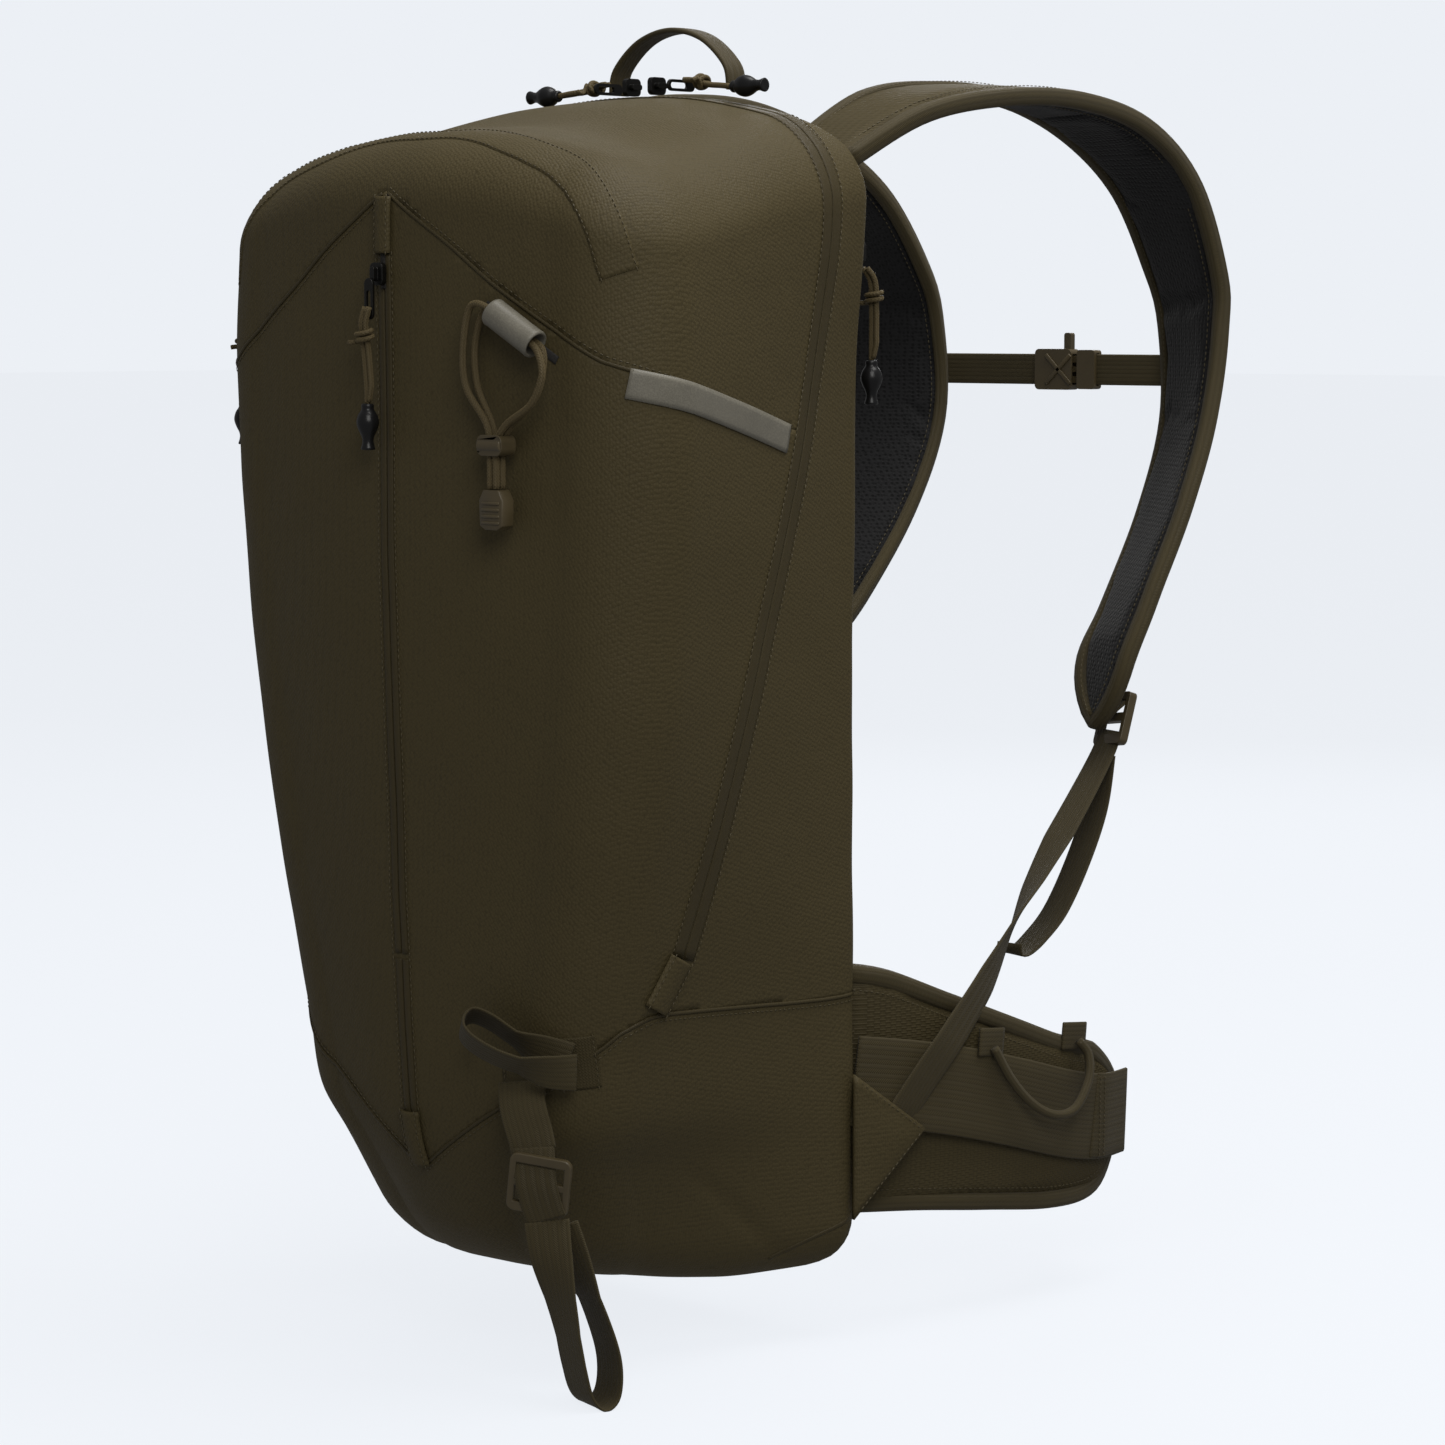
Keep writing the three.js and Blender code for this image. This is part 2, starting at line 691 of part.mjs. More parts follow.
function strapTail(side) {
  const centres = [
    vec(120, 312.2, 243), vec(119, 307, 214), vec(117.5, 294, 186), vec(116, 276, 160),
    vec(115, 258, 146), vec(114, 246, 140), vec(114, 238, 141), vec(114, 238, 146),
  ].map((p) => vec(side * p.x, p.y, p.z));
  const sides = centres.map((c, i) => vec(side, side * -0.2 + i * 0.02, 0));
  return toSolid(webbing(centres, sides, 20, webThickness, 18));
}

// Triangular patch sewn to the lower side, which the strap webbing comes out of.
function wingPatch(name, side) {
  const shape = outline([[91, 98], [91, 20], [136, 64]]);
  const geometry = new THREE.ExtrudeGeometry(shape, { depth: 3, bevelEnabled: false, curveSegments: 1 });
  geometry.rotateX(Math.PI / 2);
  geometry.rotateZ(Math.PI / 2);
  geometry.translate(-1.5, 0, 0);
  const patch = piece(name, geometry, material(colours.fabric));
  const pivot = new THREE.Group();
  pivot.add(patch);
  patch.position.set(side * 2.2, -91, 0);
  pivot.position.set(side * 126.3, 91, 0);
  pivot.rotation.z = side * -0.3;
  return pivot;
}

// ---- sternum strap --------------------------------------------------------------------------
const sternumHeight = 453;
const sternumY = 428.4;
const sternumBuckleX = -3.4;

// Runs straight out of the buckle, then bends round the outside of the shoulder pad.
function sternumWeb(name, fromX, side) {
  const centres = [
    vec(fromX, sternumY, sternumHeight), vec((fromX + side * 82) / 2, sternumY, sternumHeight),
    vec(side * 82, sternumY, sternumHeight), vec(side * 92, sternumY - 2.1, sternumHeight),
    vec(side * 102, sternumY - 6.9, sternumHeight),
  ];
  const sides = centres.map(() => vec(0, 0, 1));
  return piece(name, webbing(centres, sides, 18, webThickness, 12), material(colours.webbing));
}

function buckleFemale() {
  const body = toSolid(roundedBox(27, 8.4, 24, 3, 3));
  const socket = boxSolid(vec(-9, -2.8, -9), vec(30, 2.8, 9));
  const webSlot = boxSolid(vec(-20, -1.3, -9.6), vec(-8, 1.3, 9.6));
  const whistle = toSolid(roundedBox(5, 4, 11, 1.5, 2).translate(9, 0, 16));
  const solid = body.subtract(socket).subtract(webSlot).add(whistle);
  const buckle = piece('sternum_buckle_female', toGeometry(solid), material(colours.plastic, 0.45));
  buckle.position.set(sternumBuckleX, sternumY, sternumHeight);
  return buckle;
}

function buckleMale() {
  const base = toSolid(roundedBox(13, 7, 23, 2, 2).translate(23.5, 0, 0));
  const prongs = [-1, 0, 1].map((row) => (
    toSolid(roundedBox(20, 3, row === 0 ? 3 : 4, 1.2, 2).translate(8.5, 0, row * 6))
  ));
  const webSlot = boxSolid(vec(19, -1.3, -9.6), vec(34, 1.3, 9.6));
  const solid = prongs.reduce((sum, prong) => sum.add(prong), base).subtract(webSlot);
  const buckle = piece('sternum_buckle_male', toGeometry(solid), material(colours.plastic, 0.45));
  buckle.position.set(sternumBuckleX, sternumY, sternumHeight);
  return buckle;
}

// ---- hip belt -------------------------------------------------------------------------------
function hipWing(name, side) {
  const top = [[114, 112, 148], [129, 150, 132], [140, 190, 116], [146, 230, 101], [146, 270, 92], [140, 303, 89]];
  const low = [[114, 112, 20], [129, 150, 17], [140, 190, 12], [146, 230, 7], [146, 258, 8], [141, 284, 20]];
  const left = mirrored(side > 0 ? top : low, side);
  const right = mirrored(side > 0 ? low : top, side);
  return piece(name, band(left, right, 12, 16), material(colours.fabric));
}

function hipWeb(name, side) {
  const centres = [[130, 128, 86], [141.5, 160, 80], [150.3, 196, 70], [155.3, 236, 58], [155.4, 266, 52], [152, 292, 51]];
  const sides = centres.map(() => vec(0, 0.14, 1));
  const points = centres.map(([x, y, z]) => vec(side * x, y, z));
  return piece(name, webbing(points, sides, 47, 2, 14), material(colours.webbing));
}

function gearLoop() {
  const points = [
    vec(150.6, 179, 101), vec(154.6, 188, 84), vec(159, 200, 70), vec(163.5, 214, 62),
    vec(165, 230, 63), vec(164, 243, 76), vec(161, 247, 89), vec(157.4, 243, 97),
  ];
  return piece('gear_loop', tube(points, 5, 28), material(colours.webbing));
}

// ---- airbag system --------------------------------------------------------------------------
function foldedAirbag() {
  const geometry = roundedBox(190, 60, 66, 20, 3);
  geometry.translate(0, -62, 505);
  return piece('folded_airbag', geometry, material(colours.airbag, 0.6));
}

const fanCentre = vec(60, 40, 420);
const fanRadius = 36;

function fanHousing() {
  const outer = new THREE.CylinderGeometry(fanRadius, fanRadius, 44, 28);
  const inner = new THREE.CylinderGeometry(fanRadius - 3, fanRadius - 3, 44, 28);
  inner.translate(0, 5, 0);
  const inlet = new THREE.CylinderGeometry(9, 9, 12, 16);
  inlet.translate(0, -20, 0);
  const shell = toSolid(outer).subtract(toSolid(inner)).subtract(toSolid(inlet));
  const housing = piece('fan_housing', toGeometry(shell), material(colours.housing, 0.4));
  housing.position.copy(fanCentre);
  return housing;
}

function fanImpeller() {
  const hub = new THREE.CylinderGeometry(8, 8, 26, 16);
  const bladeCount = 9;
  let solid = toSolid(hub);
  for (let i = 0; i < bladeCount; i += 1) {
    const blade = new THREE.BoxGeometry(24, 20, 2.2);
    blade.rotateY(0.4);
    blade.translate(18, 0, 0);
    blade.rotateY((i / bladeCount) * Math.PI * 2);
    solid = solid.add(toSolid(blade));
  }
  const impeller = piece('fan_impeller', toGeometry(solid), material(colours.housing, 0.35));
  impeller.position.copy(fanCentre).add(vec(0, 2, 0));
  return impeller;
}

function powerPack() {
  const geometry = roundedBox(76, 40, 92, 6, 3);
  geometry.translate(-52, 40, 412);
  return piece('power_pack', geometry, material(colours.housing, 0.45));
}

function triggerHandle() {
  const grip = toSolid(roundedBox(12, 9, 46, 4, 3));
  const stem = toSolid(roundedBox(6, 5, 16, 2, 2).translate(0, 0, 28));
  const handle = piece('trigger_handle', toGeometry(grip.add(stem)), material(colours.bead, 0.5));
  handle.position.set(-124, 395, 395);
  handle.rotation.set(-0.41, 0, 0.62);
  return handle;
}

// ---- assembly -------------------------------------------------------------------------------
function buildBackpack() {
  const pack = new THREE.Group();
  pack.add(backShell(), baseBoot(), frontPanel(), headPanel());
  pack.add(mainZipTape('main_zip_front', -tapeWidth, -seamGap));
  pack.add(mainZipTape('main_zip_rear', seamGap + 0.3, tapeWidth));
  pack.add(frontZip('front_zip', foldHeight + 1, 512));
  pack.add(frontZip('front_zip_foot', 92, foldHeight - 1));
  pack.add(reflectiveStrip(), backPad(), carryHandle());
  pack.add(frontPull(), mainPull('main_right', 1), mainPull('main_left', -1));
  pack.add(sidePull(), rearPull());
  pack.add(axeSleeve(), axeCord('axe_cord_outer', 4, -1.9), axeCord('axe_cord_inner', 0, 1.9));
  pack.add(cordClip(), axeToggle(), axeLoop(), skiStrap(), skiBuckle(), skiLoop());
  for (const [word, side] of [['right', 1], ['left', -1]]) {
    pack.add(shoulderPad(`shoulder_pad_${word}`, side));
    pack.add(ladderLock(`ladder_lock_${word}`, side));
    pack.add(strapWeb(`strap_web_${word}`, side));
    pack.add(wingPatch(`wing_patch_${word}`, side));
    pack.add(hipWing(`hip_wing_${word}`, side));
    pack.add(hipWeb(`hip_web_${word}`, side));
  }
  pack.add(sternumWeb('sternum_web_left', sternumBuckleX - 13.5, -1),
    sternumWeb('sternum_web_right', sternumBuckleX + 24, 1));
  pack.add(buckleFemale(), buckleMale(), gearLoop());
  pack.add(foldedAirbag(), fanHousing(), fanImpeller(), powerPack(), triggerHandle());
  pack.position.set(0, -padFaceY, -originHeight);
  const model = new THREE.Group();
  model.add(pack);
  return model;
}

export default buildBackpack();
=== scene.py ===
# Avalanche airbag backpack: fabric, webbing, cords and hardware around the fixed frame.
import math
import bmesh
import bpy
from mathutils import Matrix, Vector, noise
from mathutils.bvhtree import BVHTree


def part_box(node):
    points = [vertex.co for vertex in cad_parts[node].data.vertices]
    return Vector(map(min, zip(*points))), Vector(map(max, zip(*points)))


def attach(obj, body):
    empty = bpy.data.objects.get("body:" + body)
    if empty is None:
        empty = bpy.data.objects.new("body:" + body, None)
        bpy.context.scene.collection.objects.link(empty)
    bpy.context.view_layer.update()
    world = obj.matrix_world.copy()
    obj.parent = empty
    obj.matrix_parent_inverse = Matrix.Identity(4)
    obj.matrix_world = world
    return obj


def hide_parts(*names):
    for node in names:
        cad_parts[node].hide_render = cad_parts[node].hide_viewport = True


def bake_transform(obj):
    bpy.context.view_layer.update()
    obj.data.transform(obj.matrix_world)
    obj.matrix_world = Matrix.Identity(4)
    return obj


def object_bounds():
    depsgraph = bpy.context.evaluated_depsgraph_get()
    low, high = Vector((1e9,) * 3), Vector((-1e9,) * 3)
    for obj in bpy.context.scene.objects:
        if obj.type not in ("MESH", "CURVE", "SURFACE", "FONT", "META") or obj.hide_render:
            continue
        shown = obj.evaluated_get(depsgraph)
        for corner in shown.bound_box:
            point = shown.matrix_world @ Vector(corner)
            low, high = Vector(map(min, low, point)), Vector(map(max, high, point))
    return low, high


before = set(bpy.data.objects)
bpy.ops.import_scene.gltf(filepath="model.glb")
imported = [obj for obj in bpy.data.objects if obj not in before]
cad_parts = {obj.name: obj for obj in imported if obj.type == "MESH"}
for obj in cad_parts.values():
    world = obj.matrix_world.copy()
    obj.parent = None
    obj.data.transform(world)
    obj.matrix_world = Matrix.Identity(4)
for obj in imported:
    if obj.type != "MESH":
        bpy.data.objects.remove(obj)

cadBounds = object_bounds()

# The pack's own datum: middle plane, mid depth and base, found from the back pad.
padLow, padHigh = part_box("back_pad")
padDepth = 116.4
padHeight = 300.0
datum = Vector((0.0, padHigh[1] - padDepth / 1000, (padLow[2] + padHigh[2]) / 2 - padHeight / 1000))


def place(x, y, z):
    return datum + Vector((x, y, z)) / 1000


def placeAll(points):
    return [place(*p) for p in points]


# Small helpers that the rest of the script calls.

def smoothStep(value, low, high):
    t = min(max((value - low) / (high - low), 0.0), 1.0)
    return t * t * (3 - 2 * t)


def smoothTable(table, at):
    # Rows of (key, value, ...); the values pass smoothly through every row.
    if at <= table[0][0]:
        return table[0][1:]
    if at >= table[-1][0]:
        return table[-1][1:]
    i = next(k for k in range(1, len(table)) if table[k][0] > at) - 1
    low, high = table[i], table[i + 1]
    before = table[max(i - 1, 0)]
    after = table[min(i + 2, len(table) - 1)]
    span = high[0] - low[0]
    t = (at - low[0]) / span
    result = []
    for k in range(1, len(low)):
        slopeLow = (high[k] - before[k]) / (high[0] - before[0])
        slopeHigh = (after[k] - low[k]) / (after[0] - low[0])
        h1 = 2 * t ** 3 - 3 * t ** 2 + 1
        h2 = t ** 3 - 2 * t ** 2 + t
        h3 = -2 * t ** 3 + 3 * t ** 2
        h4 = t ** 3 - t ** 2
        result.append(h1 * low[k] + h2 * span * slopeLow + h3 * high[k] + h4 * span * slopeHigh)
    return tuple(result)


def splinePoints(points, count):
    # Evenly spread points on a smooth curve through the given ones.
    dense = []
    last = len(points) - 1
    for i in range(last):
        p0 = points[max(i - 1, 0)]
        p1 = points[i]
        p2 = points[i + 1]
        p3 = points[min(i + 2, last)]
        for k in range(16):
            t = k / 16
            dense.append(0.5 * ((2 * p1) + (p2 - p0) * t + (2 * p0 - 5 * p1 + 4 * p2 - p3) * t * t
                                + (3 * p1 - p0 - 3 * p2 + p3) * t ** 3))
    dense.append(points[last].copy())
    return spread(dense, count)


def spread(points, count):
    lengths = [0.0]
    for a, b in zip(points, points[1:]):
        lengths.append(lengths[-1] + (b - a).length)
    result = []
    k = 0
    for i in range(count):
        want = lengths[-1] * i / (count - 1)
        while k < len(points) - 2 and lengths[k + 1] < want:
            k += 1
        gap = max(lengths[k + 1] - lengths[k], 1e-9)
        result.append(points[k].lerp(points[k + 1], min(max((want - lengths[k]) / gap, 0), 1)))
    return result


def pathLength(points):
    return sum((b - a).length for a, b in zip(points, points[1:]))


def tangents(points):
    last = len(points) - 1
    return [(points[min(i + 1, last)] - points[max(i - 1, 0)]).normalized() for i in range(last + 1)]


def addPiece(name, mesh):
    piece = bpy.data.objects.new(name.replace(" ", "_"), mesh)
    bpy.context.scene.collection.objects.link(piece)
    return piece


def addMesh(name, verts, faces, materials, uvs=None, smooth=True):
    mesh = bpy.data.meshes.new(name)
    mesh.from_pydata([tuple(v) for v in verts], [], faces)
    if uvs is not None:
        layer = mesh.uv_layers.new(name="cloth")
        for loop in mesh.loops:
            layer.data[loop.index].uv = uvs[loop.vertex_index]
    for material in materials:
        mesh.materials.append(material)
    for polygon in mesh.polygons:
        polygon.use_smooth = smooth
    mesh.update()
    return addPiece(name, mesh)


# Corners of a box's six faces, for points made by three nested loops of two.
boxFaces = ((0, 1, 3, 2), (4, 6, 7, 5), (0, 4, 5, 1), (2, 3, 7, 6), (0, 2, 6, 4), (1, 5, 7, 3))


def tubeFaces(rings, around):
    # Faces between rings of points, closed at both ends.
    faces = []
    for i in range(rings - 1):
        for k in range(around):
            a, b = i * around + k, i * around + (k + 1) % around
            faces.append((a, b, b + around, a + around))
    faces.append(tuple(reversed(range(around))))
    faces.append(tuple(range((rings - 1) * around, rings * around)))
    return faces


def gridFaces(columns, rows):
    # Faces of a sheet whose points are laid row by row.
    row = columns + 1
    starts = [j * row + i for j in range(rows) for i in range(columns)]
    return [(q, q + 1, q + row + 1, q + row) for q in starts]


def fixNormals(piece):
    shape = bmesh.new()
    shape.from_mesh(piece.data)
    bmesh.ops.remove_doubles(shape, verts=shape.verts, dist=1e-6)
    bmesh.ops.recalc_face_normals(shape, faces=shape.faces)
    shape.to_mesh(piece.data)
    shape.free()


def addBevel(piece, width, segments=2, angle=40):
    bevel = piece.modifiers.new("bevel", "BEVEL")
    bevel.width = width
    bevel.segments = segments
    bevel.limit_method = "ANGLE"
    bevel.angle_limit = math.radians(angle)
    bevel.harden_normals = False


def addSubdivision(piece, level=1):
    subdivision = piece.modifiers.new("subdivision", "SUBSURF")
    subdivision.levels = level
    subdivision.render_levels = level


def settle(piece, body, slot, *nodes):
    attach(piece, body)
    if nodes:
        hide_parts(*nodes)
    return piece


# Materials, each one made from procedural nodes.

def newMaterial(name, colour, roughness, **sockets):
    material = bpy.data.materials.new(name)
    material.use_nodes = True
    shader = material.node_tree.nodes["Principled BSDF"]
    shader.inputs["Base Color"].default_value = (*colour, 1)
    shader.inputs["Roughness"].default_value = roughness
    for socket, value in sockets.items():
        shader.inputs[socket].default_value = value
    return material


class Tree:
    def __init__(self, material):
        self.tree = material.node_tree
        self.shader = self.tree.nodes["Principled BSDF"]

    def node(self, kind, **settings):
        made = self.tree.nodes.new(kind)
        for key, value in settings.items():
            setattr(made, key, value)
        return made

    def link(self, output, target):
        self.tree.links.new(output, target)

    def math(self, operation, a, b=0.0, c=None):
        made = self.node("ShaderNodeMath", operation=operation)
        for i, value in enumerate((a, b) if c is None else (a, b, c)):
            if isinstance(value, (int, float)):
                made.inputs[i].default_value = value
            else:
                self.link(value, made.inputs[i])
        return made.outputs[0]

    def coordinates(self, uv, scale=(1, 1, 1), turn=(0, 0, 0)):
        if uv:
            source = self.node("ShaderNodeUVMap", uv_map="cloth").outputs["UV"]
        else:
            source = self.node("ShaderNodeTexCoord").outputs["Object"]
        mapping = self.node("ShaderNodeMapping")
        mapping.inputs["Scale"].default_value = scale
        mapping.inputs["Rotation"].default_value = turn
        self.link(source, mapping.inputs["Vector"])
        return mapping.outputs["Vector"]

    def noise(self, vector, scale, detail=2.0, roughness=0.5):
        made = self.node("ShaderNodeTexNoise")
        made.inputs["Scale"].default_value = scale
        made.inputs["Detail"].default_value = detail
        made.inputs["Roughness"].default_value = roughness
        self.link(vector, made.inputs["Vector"])
        return made.outputs["Fac"]

    def ramp(self, value, low, high, outLow=0.0, outHigh=1.0):
        made = self.node("ShaderNodeMapRange")
        for name, number in (("From Min", low), ("From Max", high), ("To Min", outLow), ("To Max", outHigh)):
            made.inputs[name].default_value = number
        self.link(value, made.inputs["Value"])
        return made.outputs["Result"]

    def colourBetween(self, factor, dark, light):
        made = self.node("ShaderNodeMix", data_type="RGBA")
        made.inputs[6].default_value = (*dark, 1)
        made.inputs[7].default_value = (*light, 1)
        self.link(factor, made.inputs[0])
        return made.outputs[2]

    def bump(self, height, strength, distance, under=None):
        made = self.node("ShaderNodeBump")
        made.inputs["Strength"].default_value = strength
        made.inputs["Distance"].default_value = distance
        self.link(height, made.inputs["Height"])
        if under is not None:
            self.link(under, made.inputs["Normal"])
        return made.outputs["Normal"]

    def finish(self, colour=None, roughness=None, normal=None):
        if colour is not None:
            self.link(colour, self.shader.inputs["Base Color"])
        if roughness is not None:
            self.link(roughness, self.shader.inputs["Roughness"])
        if normal is not None:
            self.link(normal, self.shader.inputs["Normal"])


def shade(colour, amount):
    return tuple(c * amount for c in colour)


def weaveHeight(tree, pitch, turn, uv=True):
    # Over-and-under threads: each thread crowns where it lies on top.
    vector = tree.coordinates(uv, (1 / pitch,) * 3, (0, 0, turn))
    parts = tree.node("ShaderNodeSeparateXYZ")
    tree.link(vector, parts.inputs[0])
    across, along = parts.outputs[0], parts.outputs[1 if uv else 2]
    cellSum = tree.math("ADD", tree.math("FLOOR", across), tree.math("FLOOR", along))
    checker = tree.math("FLOORED_MODULO", cellSum, 2.0)
    crownAcross = tree.math("ABSOLUTE", tree.math("SINE", tree.math("MULTIPLY", across, math.pi)))
    crownAlong = tree.math("ABSOLUTE", tree.math("SINE", tree.math("MULTIPLY", along, math.pi)))
    first = tree.math("MULTIPLY", crownAcross, checker)
    second = tree.math("MULTIPLY", crownAlong, tree.math("SUBTRACT", 1.0, checker))
    return tree.math("ADD", first, second)


def pebbleHeight(tree, pitch):
    # The crowns of a coarse twill, seen as small slanting pebbles.
    cells = tree.node("ShaderNodeTexVoronoi")
    cells.inputs["Scale"].default_value = 1.0
    cells.inputs["Randomness"].default_value = 0.45
    slanted = tree.coordinates(False, (1 / pitch, 1 / pitch, 0.72 / pitch), (0.2, 0.5, 0.4))
    tree.link(slanted, cells.inputs["Vector"])
    return tree.math("SUBTRACT", 1.0, cells.outputs["Distance"])


def wovenMaterial(name, colour, pitch, turn, roughness, bumpDepth, sheen=0.06, uv=True, contrast=0.3,
                  pebbled=False):
    material = newMaterial(name, colour, roughness, **{
        "Sheen Weight": sheen, "Sheen Roughness": 0.5, "Sheen Tint": (*shade(colour, 9.0), 1),
        "Specular IOR Level": 0.18})
    tree = Tree(material)
    height = pebbleHeight(tree, pitch) if pebbled else weaveHeight(tree, pitch, turn, uv)
    place3d = tree.coordinates(False)
    blotches = tree.noise(place3d, 9.0, 4.0, 0.6)
    grain = tree.noise(place3d, 620.0, 2.0, 0.7)
    wear = tree.math("ADD", tree.math("MULTIPLY", blotches, 0.42), tree.math("MULTIPLY", grain, 0.3))
    mixed = tree.math("ADD", tree.math("MULTIPLY", height, contrast), wear)
    factor = tree.ramp(mixed, 0.2, 0.85)
    colourOut = tree.colourBetween(factor, shade(colour, 0.72), shade(colour, 1.22))
    rough = tree.ramp(blotches, 0.3, 0.7, roughness - 0.07, roughness + 0.07)
    soft = tree.bump(tree.noise(place3d, 55.0, 3.0, 0.6), 0.25, 0.0012)
    tree.finish(colourOut, rough, tree.bump(tree.math("ADD", height, tree.math("MULTIPLY", grain, 0.7)),
                                            0.85, bumpDepth, soft))
    return material


def webbingMaterial(name, colour, rib, roughness=0.62):
    # Narrow woven webbing: ribs across its run with a fine herringbone inside them.
    material = newMaterial(name, colour, roughness, **{"Sheen Weight": 0.06, "Specular IOR Level": 0.2})
    tree = Tree(material)
    vector = tree.coordinates(True)
    parts = tree.node("ShaderNodeSeparateXYZ")
    tree.link(vector, parts.inputs[0])
    across, along = parts.outputs[0], parts.outputs[1]
    zigzag = tree.math("PINGPONG", across, rib * 2.0)
    slanted = tree.math("ADD", along, zigzag)
    ribs = tree.math("ABSOLUTE", tree.math("SINE", tree.math("MULTIPLY", slanted, math.pi / rib)))
    columns = tree.math("ABSOLUTE", tree.math("SINE", tree.math("MULTIPLY", across, math.pi / (rib * 2.0))))
    height = tree.math("ADD", tree.math("MULTIPLY", ribs, 0.7), tree.math("MULTIPLY", columns, 0.5))
    place3d = tree.coordinates(False)
    blotches = tree.noise(place3d, 22.0, 3.0)
    factor = tree.math("ADD", tree.math("MULTIPLY", height, 0.4), tree.math("MULTIPLY", blotches, 0.5))
    colourOut = tree.colourBetween(tree.ramp(factor, 0.1, 0.8), shade(colour, 0.66), shade(colour, 1.2))
    rough = tree.ramp(blotches, 0.3, 0.7, roughness - 0.08, roughness + 0.08)
    tree.finish(colourOut, rough, tree.bump(height, 0.8, 0.00028))
    return material


def mouldedMaterial(name, colour, roughness, gloss=0.45, coat=0.0):
    material = newMaterial(name, colour, roughness, **{"Specular IOR Level": gloss, "Coat Weight": coat,
                                                       "Coat Roughness": 0.12})
    tree = Tree(material)
    vector = tree.coordinates(False)
    grain = tree.noise(vector, 900.0, 2.0)
    marks = tree.noise(vector, 70.0, 5.0, 0.65)
    wear = tree.node("ShaderNodeNewGeometry").outputs["Pointiness"]
    edge = tree.ramp(wear, 0.52, 0.6, 0.0, 0.5)
    factor = tree.math("ADD", tree.math("MULTIPLY", marks, 0.6), edge)
    colourOut = tree.colourBetween(factor, shade(colour, 0.78), shade(colour, 1.4))
    rough = tree.ramp(marks, 0.25, 0.75, roughness - 0.08, roughness + 0.12)
    tree.finish(colourOut, rough, tree.bump(grain, 0.25, 0.00008))
    return material


def reflectiveMaterial(name, colour):
    # Reflective film: fine glass-bead grain that lifts at grazing angles.
    material = newMaterial(name, colour, 0.5, **{"Specular IOR Level": 0.35})
    tree = Tree(material)
    vector = tree.coordinates(False)
    beads = tree.node("ShaderNodeTexVoronoi")
    beads.inputs["Scale"].default_value = 1400.0
    tree.link(vector, beads.inputs["Vector"])
    speckle = tree.math("ADD", tree.math("MULTIPLY", beads.outputs["Distance"], 0.6),
                        tree.math("MULTIPLY", tree.noise(vector, 60.0, 3.0), 0.4))
    colourOut = tree.colourBetween(tree.ramp(speckle, 0.15, 0.75), shade(colour, 0.8), shade(colour, 1.25))
    rough = tree.ramp(speckle, 0.2, 0.8, 0.34, 0.52)
    tree.finish(colourOut, rough, tree.bump(beads.outputs["Distance"], 0.3, 0.0001))
    return material


def meshMaterial(name, colour):
    # Open spacer mesh: small holes in a hexagonal knit; the holes' darkness is painted shade and the lighter
    # rims are painted highlight.
    material = newMaterial(name, colour, 0.85, **{"Sheen Weight": 0.1, "Specular IOR Level": 0.25})
    tree = Tree(material)
    vector = tree.coordinates(False)
    holes = tree.node("ShaderNodeTexVoronoi")
    holes.inputs["Scale"].default_value = 420.0
    holes.inputs["Randomness"].default_value = 0.35
    tree.link(vector, holes.inputs["Vector"])
    rim = tree.ramp(holes.outputs["Distance"], 0.15, 0.55)
    # Painted shade and highlight: holes darkened to 0.35 of the mesh colour, rims lightened to 1.6.
    colourOut = tree.colourBetween(rim, shade(colour, 0.35), shade(colour, 1.6))
    tree.finish(colourOut, None, tree.bump(rim, 0.8, 0.0005))
    return material


olive = (0.0565, 0.0440, 0.0190)
tapeOlive = (0.0545, 0.0425, 0.0188)
fabric = wovenMaterial("laminated weave", olive, 0.0014, 0.0, 0.62, 0.00036, 0.03, False, 0.95, True)
wornFabric = wovenMaterial("harness face fabric", olive, 0.0011, math.radians(45), 0.66, 0.00022, 0.03)
tapeFabric = wovenMaterial("coated zip tape", tapeOlive, 0.0006, 0.0, 0.46, 0.00006, 0.04, True, 0.12)
binding = webbingMaterial("edge binding", shade(olive, 1.02), 0.0009)
webbing = webbingMaterial("flat webbing", shade(olive, 0.96), 0.0012)
thread = newMaterial("bonded thread", shade(olive, 1.35), 0.5)
Tree(thread).finish(Tree(thread).colourBetween(Tree(thread).noise(Tree(thread).coordinates(False), 800.0),
                                              shade(olive, 0.9), shade(olive, 1.7)))
cordOlive = (0.092, 0.070, 0.034)
cordSheath = wovenMaterial("braided cord", cordOlive, 0.0011, math.radians(45), 0.6, 0.0003, 0.15, True)
meshLining = meshMaterial("spacer mesh", (0.0065, 0.0065, 0.0070))
lining = wovenMaterial("inner lining", (0.030, 0.028, 0.026), 0.0012, 0.0, 0.7, 0.0001)
oliveMoulding = mouldedMaterial("olive moulding", (0.066, 0.050, 0.0240), 0.40)
beadMoulding = mouldedMaterial("black gloss moulding", (0.0075, 0.0075, 0.0080), 0.30, 0.3)
blackMetal = mouldedMaterial("blackened slider metal", (0.0090, 0.0085, 0.0075), 0.34, 0.6)
blackMetal.node_tree.nodes["Principled BSDF"].inputs["Metallic"].default_value = 0.6
reflective = reflectiveMaterial("reflective film", (0.150, 0.140, 0.112))
airbagCloth = wovenMaterial("airbag cloth", (0.46, 0.075, 0.02), 0.0009, 0.0, 0.5, 0.00012, 0.05, False)
housingPlastic = mouldedMaterial("housing moulding", (0.022, 0.023, 0.026), 0.42)
print("materials made")

# Camera, lights and floor.

studio = {
    "cameraTurn": 42.5,         # degrees round from straight in front
    "cameraLift": 6.1,          # degrees above level
    "cameraPlace": (1.3593, -1.4683, 0.1813),
    "lens": 93.57,
    "floorDrop": 0.0,           # floor below the lowest piece
    "floorSize": 60.0,
    "skyStrength": 0.26,
}


